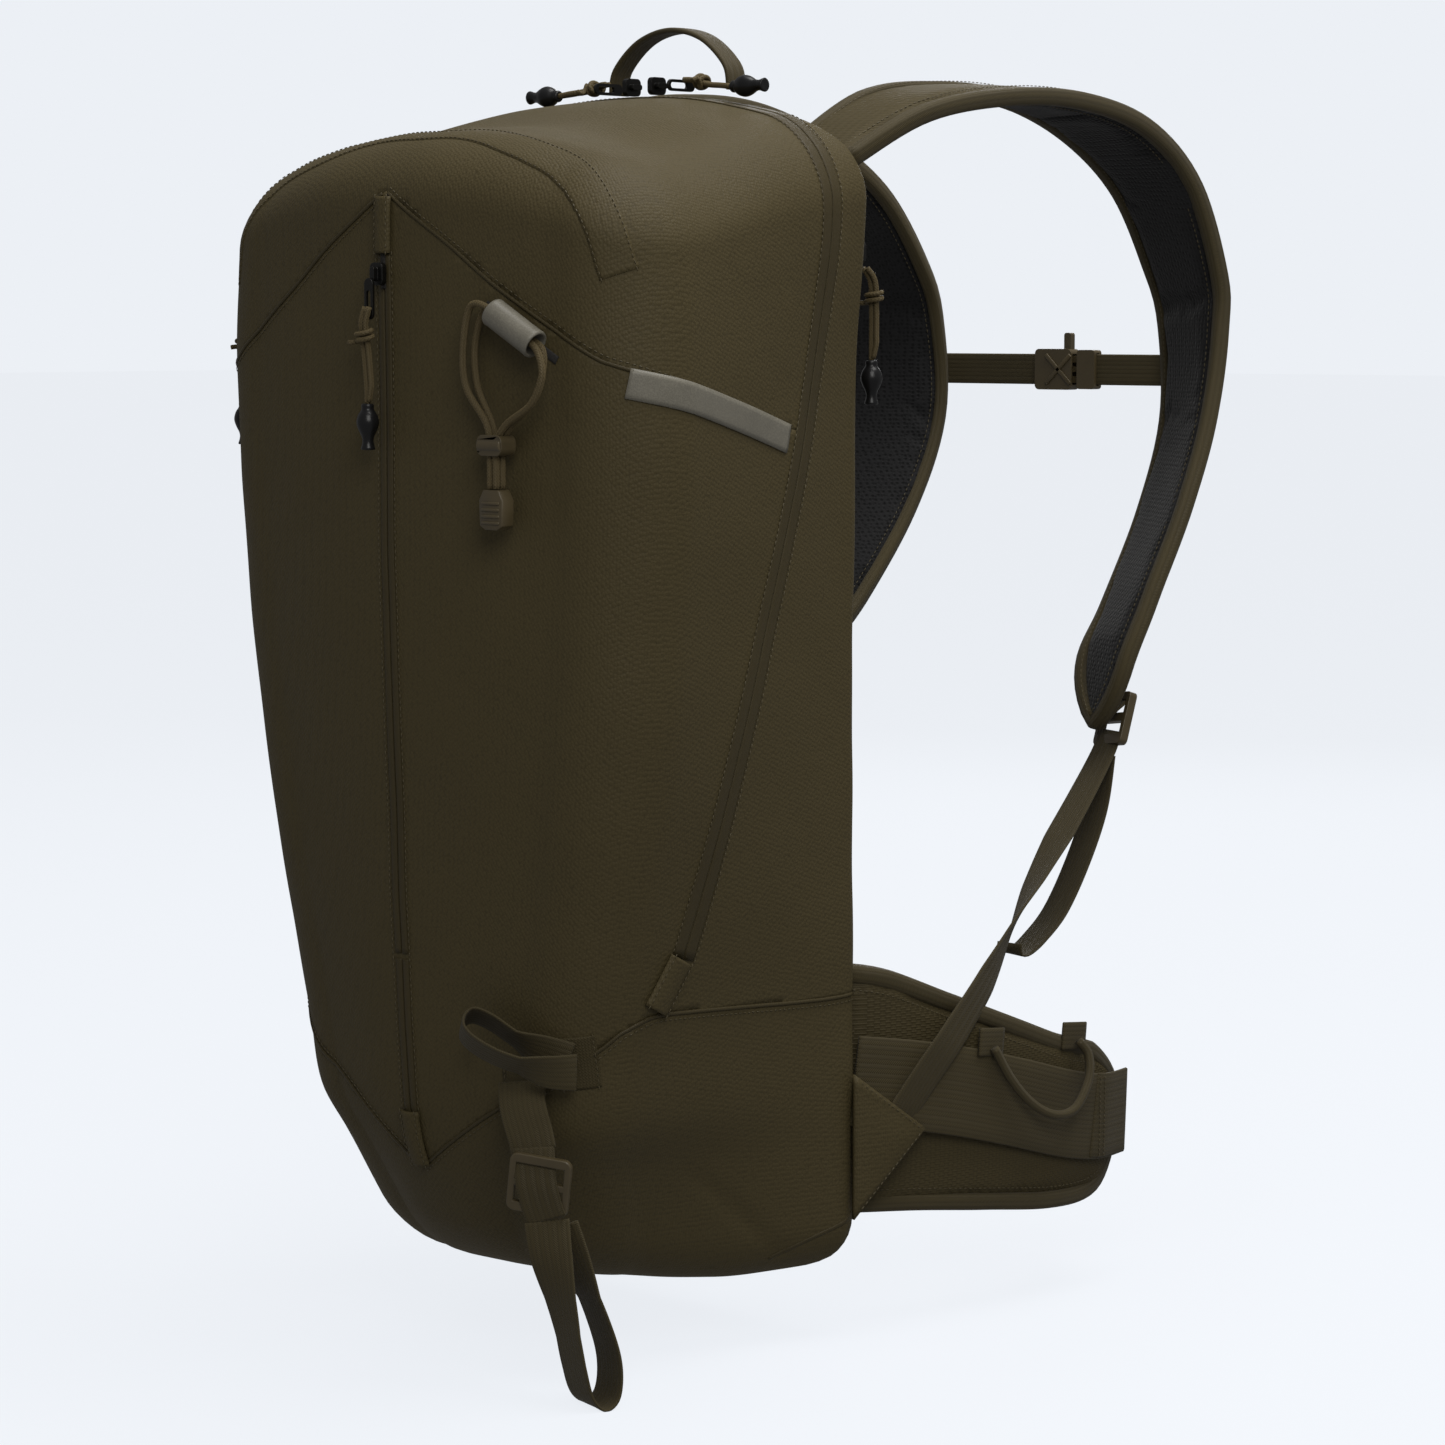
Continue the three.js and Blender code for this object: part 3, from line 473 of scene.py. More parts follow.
def makeCamera():
    camera = bpy.data.objects.new("camera", bpy.data.cameras.new("camera"))
    camera.data.lens = studio["lens"]
    camera.data.sensor_width = 36
    camera.location = studio["cameraPlace"]
    camera.rotation_euler = (math.radians(90 - studio["cameraLift"]), 0, math.radians(studio["cameraTurn"]))
    bpy.context.scene.collection.objects.link(camera)
    bpy.context.scene.camera = camera


def areaLight(name, spot, aim, size, power, colour=(1, 1, 1)):
    lamp = bpy.data.lights.new(name, "AREA")
    lamp.size = size
    lamp.energy = power
    lamp.color = colour
    light = bpy.data.objects.new(name, lamp)
    light.location = spot
    light.rotation_euler = (Vector(aim) - Vector(spot)).to_track_quat("-Z", "Y").to_euler()
    bpy.context.scene.collection.objects.link(light)


def makeStudio():
    world = bpy.data.worlds.new("studio")
    world.use_nodes = True
    nodes, links = world.node_tree.nodes, world.node_tree.links
    sky = nodes["Background"]
    sky.inputs["Color"].default_value = (0.93, 0.93, 0.94, 1)
    sky.inputs["Strength"].default_value = studio["skyStrength"]
    backdrop = nodes.new("ShaderNodeBackground")
    backdrop.inputs["Color"].default_value = (0.84, 0.87, 0.915, 1)
    mix = nodes.new("ShaderNodeMixShader")
    links.new(nodes.new("ShaderNodeLightPath").outputs["Is Camera Ray"], mix.inputs[0])
    links.new(sky.outputs[0], mix.inputs[1])
    links.new(backdrop.outputs[0], mix.inputs[2])
    links.new(mix.outputs[0], nodes["World Output"].inputs["Surface"])
    bpy.context.scene.world = world
    areaLight("top softbox", (0.45, 0.3, 1.9), (0, 0, 0.1), 1.3, 35, (1, 0.985, 0.96))
    areaLight("side softbox", (1.65, -1.25, 1.35), (0, 0, 0), 1.2, 21, (1, 0.985, 0.95))
    areaLight("rear softbox", (-1.2, 2.0, 0.9), (0, 0, 0), 1.0, 10)
    half = studio["floorSize"] / 2
    floorHeight = cadBounds[0][2] - studio["floorDrop"] - 0.002
    corners = [(-half, -half), (half, -half), (half, half), (-half, half)]
    paper = newMaterial("pale floor", (0.55, 0.57, 0.60), 0.9, **{
        "Emission Color": (0.84, 0.87, 0.915, 1), "Emission Strength": 0.945, "Specular IOR Level": 0.0})
    Tree(paper).finish(Tree(paper).colourBetween(Tree(paper).noise(Tree(paper).coordinates(False), 2.0),
                                                (0.098, 0.100, 0.106), (0.102, 0.105, 0.110)))
    floor = addMesh("floor", [(x, y, floorHeight) for x, y in corners], [(0, 1, 2, 3)], [paper], smooth=False)
    floor.visible_diffuse = False
    floor.visible_glossy = False


makeCamera()
makeStudio()
bpy.context.scene.view_settings.view_transform = "Standard"
print("camera and studio made")

# Cords of the zip pulls and of the axe holder.

cordSizes = {
    "pull": 0.0030,
    "axe": 0.0034,
    "sides": 12,
}


def cordTube(name, points, diameter, samples):
    route = splinePoints(points, samples)
    verts, uvs = [], []
    sides = cordSizes["sides"]
    directions = tangents(route)
    up = directions[0].orthogonal().normalized()
    walked = 0.0
    for i, (spot, ahead) in enumerate(zip(route, directions)):
        up = (up - ahead * up.dot(ahead)).normalized()
        side = ahead.cross(up)
        walked += (spot - route[i - 1]).length if i else 0.0
        for k in range(sides):
            angle = 2 * math.pi * k / sides
            verts.append(spot + (up * math.cos(angle) + side * math.sin(angle)) * diameter / 2)
            uvs.append((math.pi * diameter * k / sides, walked))
    piece = addMesh(name, verts, tubeFaces(len(route), sides), [cordSheath], uvs)
    return piece, route


def lathe(name, profile, spot, axis, material, sides=28):
    # Turned piece: profile rows are (radius, distance along the axis) in millimetres.
    turn = Vector((0, 0, 1)).rotation_difference(Vector(axis)).to_matrix()
    dense = [Vector((r, h, 0)) for r, h in profile]
    verts = []
    for row in dense:
        for k in range(sides):
            angle = 2 * math.pi * k / sides
            ringSpot = Vector((row.x * math.cos(angle), row.x * math.sin(angle), row.y))
            verts.append(spot + turn @ ringSpot / 1000)
    piece = addMesh(name, verts, tubeFaces(len(dense), sides), [material])
    fixNormals(piece)
    return piece


# Collar, round bulge and a waist that flares to a flat end.
beadOutline = [
    (1.2, 0.2), (2.6, 0.2), (3.1, -0.8), (3.0, -2.2), (3.4, -3.2), (4.7, -5.2), (5.5, -8.0), (5.4, -10.2),
    (4.4, -13.0), (3.2, -15.4), (2.7, -17.4), (2.9, -19.4), (3.5, -21.4), (3.3, -22.1), (1.0, -22.0),
]
beadProfile = [(p.x, p.y) for p in splinePoints([Vector((r, h, 0)) for r, h in beadOutline], 40)]


def makeBead(name, spot, axis, node, body):
    bead = lathe(name, beadProfile, spot, axis, beadMoulding)
    return settle(bead, body, "bead", node)


knotSizes = {
    "turns": 1.75,
    "halfWidth": 0.0044,
    "halfDepth": 0.0031,
    "length": 0.0052,
    "points": 40,
}


def overhandKnot(name, centre, ahead, beside, body):
    # The cord wraps twice round both strands and leaves one short stub.
    ahead = Vector(ahead).normalized()
    side = Vector(beside).normalized()
    face = ahead.cross(side)
    middle = centre + Vector(beside) / 2
    wrap = []
    for i in range(knotSizes["points"] + 1):
        t = i / knotSizes["points"]
        angle = 2 * math.pi * (knotSizes["turns"] * t - 0.1)
        wrap.append(middle + side * knotSizes["halfWidth"] * math.cos(angle)
                    + face * knotSizes["halfDepth"] * math.sin(angle)
                    + ahead * (t - 0.5) * knotSizes["length"])
    stubEnd = middle - side * 0.0105 + face * 0.0012 + ahead * 0.0030
    wrap += [middle - side * 0.0070 + face * 0.0022 + ahead * 0.0028, stubEnd]
    knot, _ = cordTube(name, wrap, cordSizes["pull"] * 0.8, 90)
    settle(knot, body, "cord")
    return [knot]


def pullCord(name, points, beadAxis, knotAt, body):
    route = placeAll(points)
    cord, path = cordTube(name + " cord", route, cordSizes["pull"], 34)
    bead = makeBead(name + " bead", route[-1], beadAxis, name + "_bead", body)
    knotSpot = path[int(len(path) * knotAt)]
    # The second strand of the doubled cord, beside the first from the ring to the bead.
    hanging = abs((path[-1] - path[0]).z) > 0.02
    beside = Vector((0.0031, 0, 0)) if hanging and name != "side" else Vector((0, 0.0031, 0))
    strand = [path[0] + beside * 0.9] + [p + beside for p in path[3:-4:3]] + [path[-2] + beside * 0.35]
    twin, _ = cordTube(name + " second strand", strand, cordSizes["pull"] * 0.92, 30)
    settle(twin, body, "cord")
    ahead = path[int(len(path) * knotAt) + 1] - knotSpot
    knot = overhandKnot(name + " knot", knotSpot, ahead, beside, body)
    settle(cord, body, "cord", name + "_cord")


pullCord("front", [(0, -123.8, 488), (-2.5, -124.2, 480), (-2.5, -122.5, 468), (-2, -121.4, 452),
                   (-2, -121, 441.3)], (0, 0, 1), 0.30, "front_pull")
pullCord("side", [(-159, -66, 486), (-160.5, -66, 478), (-158.9, -66, 464), (-158.6, -66, 450),
                  (-158.4, -66, 439.3)], (0, 0, 1), 0.34, "side_pull")
pullCord("rear", [(116, 110.4, 508), (118, 114, 501), (118, 115, 486), (118, 115, 472),
                  (118, 115, 461.3)], (0, 0, 1), 0.34, "rear_pull")


def roofHeightAt(x, y):
    slope = [(-111, 570), (-60, 575), (-33, 578), (17, 590), (68, 596), (104, 598)]
    return smoothTable(slope, y)[0] - 26 * min(abs(x) / 140, 1.1) ** 2.2


for side, word in ((1, "main_right"), (-1, "main_left")):
    rows = [(28, 7.2, 0), (34, 7.2, 1), (44, 5.6, 1), (54, 5.8, 0), (62, 6, 0)]
    pullCord(word, [(side * x, 71.5 + dy, roofHeightAt(x, 71.5) + 1.5 + rise) for x, rise, dy in rows],
             (-side, 0, 0), 0.30, word + "_pull")


# Each axe cord runs from the toggle through the clip, round through the sleeve and back.
def axeCordRoute(bow, dy):
    x, y = 80, -114 + dy
    sleeveMiddle = Vector((91, -112.5, 478))
    along = Vector((25, 2.5, -15)).normalized()
    sleeveSteps = ((-17, 1), (-8, 0), (8, 0), (18, -1))
    inSleeve = [sleeveMiddle + along * d + Vector((0, dy, dz)) for d, dz in sleeveSteps]
    return [
        (x - 2, y, 402.5), (x - 2, y, 412), (x - 2.2, y, 424), (x - 5, y, 434), (x - 14 - bow, y, 450),
        (x - 16 - bow, y, 468), (x - 11 - bow, y, 484 + bow),
        *[tuple(p) for p in inSleeve],
        (x + 28 + bow, y + 1, 456), (x + 22 + bow, y, 443), (x + 9, y, 433), (x + 2.2, y, 424),
        (x + 2, y, 412), (x + 2, y, 402.5),
    ]


axeToggle = {
    "place": (80, -114, 402),   # top middle of the grip
    "halfDepth": 4,
    "ribs": 4,
    "firstRib": 5.5,
    "ribStep": 3.1,
    "ribHalfWidth": 6.0,
    "ribDepths": (3.6, 4.7),
    "ribHeight": 1.6,
}


def makeToggle():
    # Tapered grip with cross ribs on both faces.
    midX, midY, topZ = axeToggle["place"]
    outline = [(-5, 0), (5, 0), (8, -5), (7.5, -17), (4, -19), (-4, -19), (-7.5, -17), (-8, -5)]
    verts, faces = [], []
    for depth in (-axeToggle["halfDepth"], axeToggle["halfDepth"]):
        verts += [place(midX + x, midY + depth, topZ + z) for x, z in outline]
    count = len(outline)
    faces.append(tuple(range(count)))
    faces.append(tuple(reversed(range(count, 2 * count))))
    faces += [(i + count, (i + 1) % count + count, (i + 1) % count, i) for i in range(count)]
    for row in range(axeToggle["ribs"]):
        for face in (-1, 1):
            start = len(verts)
            top = topZ - axeToggle["firstRib"] - row * axeToggle["ribStep"]
            for dx in (-axeToggle["ribHalfWidth"], axeToggle["ribHalfWidth"]):
                for dy in axeToggle["ribDepths"]:
                    for dz in (0, -axeToggle["ribHeight"]):
                        verts.append(place(midX + dx, midY + face * dy, top + dz))
            faces += [tuple(start + k for k in corner) for corner in boxFaces]
    toggle = addMesh("axe toggle grip", verts, faces, [oliveMoulding])
    fixNormals(toggle)
    addBevel(toggle, 0.0006, 2)
    return settle(toggle, "axe_pull", "buckle_plastic", "axe_toggle")


axeToggleGrip = makeToggle()
for word, bow, dy in (("outer", 4, -1.9), ("inner", 0, 1.9)):
    cord, path = cordTube("axe cord " + word, placeAll(axeCordRoute(bow, dy)), cordSizes["axe"], 110)
    settle(cord, "axe_pull", "cord", "axe_cord_" + word)
print("cords made")

# The bag's skin.

bag = {
    "frontCorner": 45,
    "rearCorner": 14,
    "frontCrown": 11,
    "backDepth": 104,
    "roofHeight": 590,
    "roofRounding": 36,
    "baseRounding": 24,
    "skinThickness": 1.5,
    "slouch": 1.3,              # height of the soft swells and creases
    "rowStep": 4.0,
}

# Height, front half width and front centre line of the bag.
bagLevels = [
    (0, 80, -66), (27, 86, -78), (62, 95, -92), (88, 108, -98), (127, 114, -101), (241, 133.5, -106.5),
    (304, 143, -108.5), (398, 151, -110), (480, 152, -111), (600, 147, -111),
]
# Side view of the main zip: height and depth.
zipLevels = [(60, -74), (150, -38), (240, -13), (346, 18), (442, 48), (516, 63), (566, 66), (640, 66)]


def baseHeightAt(y):
    return smoothTable([(-70, 9), (-30, 2), (40, -7), (104, -3)], y)[0]


def placedHeight(x, y, height):
    roofShare = smoothStep(height, 430, bag["roofHeight"])
    baseShare = 1 - smoothStep(height, 0, 110)
    return height + (roofHeightAt(x, y) - bag["roofHeight"]) * roofShare + baseHeightAt(y) * baseShare


def bagOutline(height, inset):
    half, front = smoothTable(bagLevels, height)
    half -= inset
    front += inset
    wide = 124 + 7 * smoothStep(height, 440, 560) - inset
    rear = bag["backDepth"] - inset
    corner = max(bag["frontCorner"] - inset, 6)
    back = max(bag["rearCorner"] - inset, 3)
    flat = half - corner
    right = []
    for i in range(16):
        x = flat * i / 16
        right.append((x, front + bag["frontCrown"] * (x / flat) ** 2))
    for i in range(14):
        angle = i / 13 * math.pi / 2
        turned = corner * (1 - math.cos(angle))
        right.append((flat + corner * math.sin(angle), front + bag["frontCrown"] + turned))
    sideStart = front + bag["frontCrown"] + corner
    for i in range(1, 30):
        t = i / 30
        swell = 3.0 * math.sin(math.pi * t) * smoothStep(height, 60, 200) * (1 - smoothStep(height, 520, 590))
        right.append((half + (wide - half) * t + swell * 0.6, sideStart + (rear - back - sideStart) * t))
    for i in range(7):
        angle = i / 6 * math.pi / 2
        right.append((wide - back + back * math.cos(angle), rear - back + back * math.sin(angle)))
    for i in range(1, 12):
        right.append(((wide - back) * (1 - i / 12), rear))
    right.append((0, rear))
    left = [(-x, y) for x, y in reversed(right[1:-1])]
    return right + left, (front + rear) / 2


def slouchAt(x, y, z):
    # Soft swells and a crease down the belly.
    spot = Vector((x / 95, y / 95, z / 120))
    swell = noise.noise(spot + Vector((3.1, 7.7, 1.9))) + 0.5 * noise.noise(spot * 2.7)
    crease = 0.0
    if abs(x) > 60:
        line = (z - 40) - (abs(x) - 104) * -6.0
        crease = -1.6 * math.exp(-(line / 9) ** 2) * smoothStep(y, -20, 14) * (1 - smoothStep(y, 50, 70))
    return bag["slouch"] * swell + crease


def bagSurface():
    rows = []

    def addRow(height, inset, shrink=1.0):
        outline, centre = bagOutline(height, inset)
        row = []
        for x, y in outline:
            sx, sy = x * shrink, centre + (y - centre) * shrink
            row.append(Vector((sx, sy, placedHeight(sx, sy, height))))
        rows.append(row)

    for shrink in (0.12, 0.25, 0.4, 0.55, 0.7, 0.85):
        addRow(0, bag["baseRounding"], shrink)
    for i in range(9):
        angle = i / 8 * math.pi / 2
        addRow(bag["baseRounding"] * (1 - math.cos(angle)), bag["baseRounding"] * (1 - math.sin(angle)))
    low, high = bag["baseRounding"], bag["roofHeight"] - bag["roofRounding"]
    count = int((high - low) / bag["rowStep"])
    for i in range(1, count):
        addRow(low + (high - low) * i / count, 0)
    for i in range(11):
        angle = i / 10 * math.pi / 2
        addRow(bag["roofHeight"] - bag["roofRounding"] * (1 - math.sin(angle)),
               bag["roofRounding"] * (1 - math.cos(angle)))
    for i in range(1, 20):
        addRow(bag["roofHeight"], bag["roofRounding"], 1 - i / 20)
    around = len(rows[0])
    verts = [p for row in rows for p in row]
    faces = tubeFaces(len(rows), around)
    # Cloth coordinates: distance around the widest ring, and height.
    girth = [0.0]
    ring = rows[len(rows) // 2]
    for k in range(1, around):
        girth.append(girth[-1] + (ring[k] - ring[k - 1]).length / 1000)
    uvs = []
    for row in rows:
        for k in range(around):
            uvs.append((girth[k], row[k].z / 1000))
    return verts, faces, uvs


def zipDepthAt(z):
    return smoothTable(zipLevels, z)[0]


def upperSeamAt(x):
    # Height of the V seam under the head.
    x = abs(x)
    return smoothTable([(0, 544), (46, 516), (75, 496), (114, 472), (137, 459), (160, 452)], x)[0]


def headSeamAt(x, y):
    # The V runs on down the side, along the upper edge of the reflective strip.
    return upperSeamAt(x) - 31 * min(max((y + 88) / 123, 0), 1.5)


def lowerSeamAt(x, y):
    # Height of the V seam above the boot: a V on the front, nearly level on the side.
    onFront = smoothTable([(0, 60), (56, 98), (81, 110), (100, 126), (117, 144)], min(abs(x), 117))[0]
    onSide = smoothTable([(-86, 118), (-66, 136), (-50, 144), (-23, 144), (71, 138), (110, 138)], y)[0]
    share = smoothStep(y, -88, -58)
    return onFront * (1 - share) + onSide * share


def regionOf(spot):
    x, y, z = spot
    if z < lowerSeamAt(x, y):
        return "boot"
    if y > zipDepthAt(min(z, 566)):
        return "back"
    if z > headSeamAt(x, y):
        return "head"
    return "front"


def cutAlong(shape, heightOf, snap=0.18):
    # Adds an edge loop where heightOf is zero, so that the regions meet on a clean line.
    values = {v: heightOf(v.co) for v in shape.verts}
    onLine = set()
    for edge in list(shape.edges):
        a, b = edge.verts
        va, vb = values[a], values[b]
        if va * vb >= 0 or abs(va - vb) > 40:
            continue
        t = va / (va - vb)
        if t < snap or t > 1 - snap:
            closer, other, share = (a, b, t) if t < snap else (b, a, 1 - t)
            if closer not in onLine:
                closer.co = closer.co.lerp(other.co, share)
                values[closer] = 0.0
                onLine.add(closer)
    for edge in list(shape.edges):
        a, b = edge.verts
        if values[a] * values[b] < 0 and abs(values[a] - values[b]) <= 40:
            made = bmesh.utils.edge_split(edge, a, values[a] / (values[a] - values[b]))[1]
            values[made] = 0.0
            onLine.add(made)
    for polygon in list(shape.faces):
        ends = [v for v in polygon.verts if v in onLine]
        if len(ends) == 2 and not any(set(edge.verts) == set(ends) for edge in polygon.edges):
            bmesh.utils.face_split(polygon, ends[0], ends[1])


def buildBag():
    verts, faces, uvs = bagSurface()
    whole = addMesh("bag form", verts, faces, [fabric], uvs)
    fixNormals(whole)
    shape = bmesh.new()
    shape.from_mesh(whole.data)
    shape.normal_update()
    for v in shape.verts:
        v.co += v.normal * slouchAt(*v.co)
    cutAlong(shape, lambda p: p.z - lowerSeamAt(p.x, p.y))
    cutAlong(shape, lambda p: p.y - zipDepthAt(min(p.z, 566)))
    cutAlong(shape, lambda p: p.z - headSeamAt(p.x, p.y))
    for v in shape.verts:
        v.co = place(*v.co)
    shape.to_mesh(whole.data)
    surface = BVHTree.FromBMesh(shape)
    shape.free()
    return whole, surface


def takeRegion(whole, name, region):
    shape = bmesh.new()
    shape.from_mesh(whole.data)
    away = [f for f in shape.faces if regionOf((f.calc_center_median() - datum) * 1000) != region]
    bmesh.ops.delete(shape, geom=away, context="FACES")
    mesh = bpy.data.meshes.new(name)
    shape.to_mesh(mesh)
    shape.free()
    mesh.materials.append(fabric)
    mesh.materials.append(lining)
    piece = addPiece(name, mesh)
    wall = piece.modifiers.new("wall", "SOLIDIFY")
    wall.thickness = bag["skinThickness"] / 1000
    wall.offset = -1
    wall.material_offset = 1
    wall.material_offset_rim = 0
    return piece


bagForm, bagSkin = buildBag()
frontSkin = takeRegion(bagForm, "front panel fabric", "front")
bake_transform(frontSkin)
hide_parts("front_panel")
settle(takeRegion(bagForm, "head panel fabric", "head"), "front", "fabric", "head_panel")
settle(takeRegion(bagForm, "back shell fabric", "back"), "root", "fabric", "back_shell")
settle(takeRegion(bagForm, "boot fabric", "boot"), "root", "fabric", "base_boot")
bpy.data.objects.remove(bagForm)
print("bag skin made")

# Seams, tapes and bands that follow the skin.


def onSkin(spot, lift):
    hit, normal, _, _ = bagSkin.find_nearest(spot)
    return hit + normal * lift / 1000, normal


def skinRibbon(name, path, width, material, lift=0.5, thickness=0.7, across=6, shift=0.0,
               samples=80, dome=0.0):
    # A strip of cloth laid on the skin along a path, with rolled edges.
    route = splinePoints(path, samples) if len(path) < 40 else spread(path, samples)
    directions = tangents(route)
    verts, faces, uvs = [], [], []
    walked = 0.0
    rows = across + 1
    for i, spot in enumerate(route):
        centre, normal = onSkin(spot, 0)
        side = normal.cross(directions[i]).normalized()
        walked += (spot - route[i - 1]).length if i else 0.0
        for k in range(rows):
            t = k / across - 0.5
            rise = lift + dome * (1 - (2 * t) ** 2) + (0 if 0 < k < across else -0.5 * thickness)
            point, _ = onSkin(centre + side * (t * width + shift) / 1000, rise)
            verts.append(point)
            uvs.append((t * width / 1000, walked))
    for i in range(len(route) - 1):
        for k in range(across):
            a = i * rows + k
            faces.append((a, a + rows, a + rows + 1, a + 1))
    piece = addMesh(name, verts, faces, [material], uvs)
    wall = piece.modifiers.new("wall", "SOLIDIFY")
    wall.thickness = thickness / 1000
    wall.offset = -1
    wall.use_rim = True
    return piece


def stitchTree():
    # Stitches of one length laid end to end along an edge path, standing on the surface normal.
    tree = bpy.data.node_groups.new("stitch row", "GeometryNodeTree")
    face = tree.interface
    face.new_socket("Geometry", in_out="INPUT", socket_type="NodeSocketGeometry")
    for label, number in (("Pitch", 0.003), ("Length", 0.0022), ("Thickness", 0.0005)):
        face.new_socket(label, in_out="INPUT", socket_type="NodeSocketFloat").default_value = number
    face.new_socket("Material", in_out="INPUT", socket_type="NodeSocketMaterial")
    face.new_socket("Geometry", in_out="OUTPUT", socket_type="NodeSocketGeometry")
    make = tree.nodes.new
    link = tree.links.new
    start, end = make("NodeGroupInput"), make("NodeGroupOutput")
    toCurve = make("GeometryNodeMeshToCurve")
    resample = make("GeometryNodeResampleCurve")
    resample.mode = "LENGTH"
    stitch = make("GeometryNodeMeshUVSphere")
    stitch.inputs["Segments"].default_value = 6
    stitch.inputs["Rings"].default_value = 4
    stitch.inputs["Radius"].default_value = 0.5
    normal = make("GeometryNodeInputNamedAttribute")
    normal.data_type = "FLOAT_VECTOR"
    normal.inputs["Name"].default_value = "standing"
    tangent = make("GeometryNodeInputTangent")
    first = make("FunctionNodeAlignEulerToVector")
    first.axis = "X"
    second = make("FunctionNodeAlignEulerToVector")
    second.axis = "Z"
    second.pivot_axis = "X"
    size = make("ShaderNodeCombineXYZ")
    instance = make("GeometryNodeInstanceOnPoints")
    realize = make("GeometryNodeRealizeInstances")
    paint = make("GeometryNodeSetMaterial")
    link(start.outputs["Geometry"], toCurve.inputs["Mesh"])
    link(toCurve.outputs["Curve"], resample.inputs["Curve"])
    link(start.outputs["Pitch"], resample.inputs["Length"])
    link(resample.outputs["Curve"], instance.inputs["Points"])
    link(stitch.outputs["Mesh"], instance.inputs["Instance"])
    link(tangent.outputs["Tangent"], first.inputs["Vector"])
    link(first.outputs["Rotation"], second.inputs["Rotation"])
    link(normal.outputs["Attribute"], second.inputs["Vector"])
    link(second.outputs["Rotation"], instance.inputs["Rotation"])
    link(start.outputs["Length"], size.inputs["X"])
    link(start.outputs["Thickness"], size.inputs["Y"])
    link(start.outputs["Thickness"], size.inputs["Z"])
    link(size.outputs["Vector"], instance.inputs["Scale"])
    link(instance.outputs["Instances"], realize.inputs["Geometry"])
    link(realize.outputs["Geometry"], paint.inputs["Geometry"])
    link(start.outputs["Material"], paint.inputs["Material"])
    link(paint.outputs["Geometry"], end.inputs["Geometry"])
    return tree


stitchGroup = stitchTree()
stitching = {
    "pitch": 0.0032,
    "length": 0.0024,
    "thickness": 0.00055,
}


def stitchRows(name, rows, body, slot="fabric", pitch=None):
    # Each row is a list of (point, normal).
    mesh = bpy.data.meshes.new(name)
    verts, edges, normals = [], [], []
    for row in rows:
        start = len(verts)
        verts += [tuple(p) for p, _ in row]
        normals += [n for _, n in row]
        edges += [(start + i, start + i + 1) for i in range(len(row) - 1)]
    mesh.from_pydata(verts, edges, [])
    standing = mesh.attributes.new("standing", "FLOAT_VECTOR", "POINT")
    for i, n in enumerate(normals):
        standing.data[i].vector = n
    holder = bpy.data.objects.new(name + " path", mesh)
    bpy.context.scene.collection.objects.link(holder)
    modifier = holder.modifiers.new("stitches", "NODES")
    modifier.node_group = stitchGroup
    values = {"Pitch": pitch or stitching["pitch"], "Length": stitching["length"],
              "Thickness": stitching["thickness"], "Material": thread}
    for item in stitchGroup.interface.items_tree:
        if item.in_out == "INPUT" and item.name in values:
            modifier[item.identifier] = values[item.name]
    depsgraph = bpy.context.evaluated_depsgraph_get()
    result = bpy.data.meshes.new_from_object(holder.evaluated_get(depsgraph))
    for polygon in result.polygons:
        polygon.use_smooth = True
    if not result.materials:
        result.materials.append(thread)
    piece = addPiece(name, result)
    holder.modifiers.clear()
    bpy.data.objects.remove(holder)
    return settle(piece, body, slot)


def skinStitches(name, path, offsets, body, lift=1.0, samples=90, pitch=None):
    route = splinePoints(path, samples) if len(path) < 40 else spread(path, samples)
    directions = tangents(route)
    rows = []
    for offset in offsets:
        row = []
        for spot, ahead in zip(route, directions):
            centre, normal = onSkin(spot, 0)
            side = normal.cross(ahead).normalized()
            row.append(onSkin(centre + side * offset / 1000, lift))
        rows.append(row)
    return stitchRows(name, rows, body, pitch=pitch)


def mirrorPath(path):
    # The same path on the other side of the middle plane, kept in its direction.
    return [Vector((-p.x, p.y, p.z)) for p in path]


def castSide(z, y, side=1):
    start = place(side * 260, y, z)
    hit = bagSkin.ray_cast(start, Vector((-side, 0, 0)))[0]
    return hit


def mainZipPath():
    # From the lower garage on one side, over the roof, to the garage on the other.
    right = [castSide(z, zipDepthAt(z)) for z in range(172, 500, 8)]
    roof = []
    hub = place(0, 66, 450)
    for i in range(61):
        angle = math.radians(24 + (156 - 24) * i / 60)
        ahead = Vector((math.cos(angle), 0, math.sin(angle)))
        hit = bagSkin.ray_cast(hub + ahead * 0.4, -ahead)[0]
        height = (hit - datum).z * 1000
        origin = hub + ahead * 0.4
        origin.y = place(0, zipDepthAt(height), 0).y
        roof.append(bagSkin.ray_cast(origin, -ahead)[0])
    left = mirrorPath(right)[::-1]
    return right + roof + left


zipPath = mainZipPath()
rearTape = skinRibbon("main zip rear tape", zipPath, 7.6, tapeFabric, lift=0.6, thickness=0.5,
                      shift=-4.1, samples=220)
frontTape = skinRibbon("main zip front tape", zipPath, 7.6, tapeFabric, lift=0.6, thickness=0.5,
                       shift=4.1, samples=220)
settle(rearTape, "root", "zip_tape", "main_zip_rear")
settle(frontTape, "front", "zip_tape", "main_zip_front")
skinStitches("main zip rear stitching", zipPath, (-8.6,), "root", 0.6, 220)
skinStitches("main zip front stitching", zipPath, (8.6,), "front", 0.6, 220)
print("main zip made")

# What is sewn to the bag.

trim = {
    "seamWidth": 2.2,
    "lipWidth": 4.4,
    "burstWidth": 20.0,
    "stripWidth": 14.5,
}

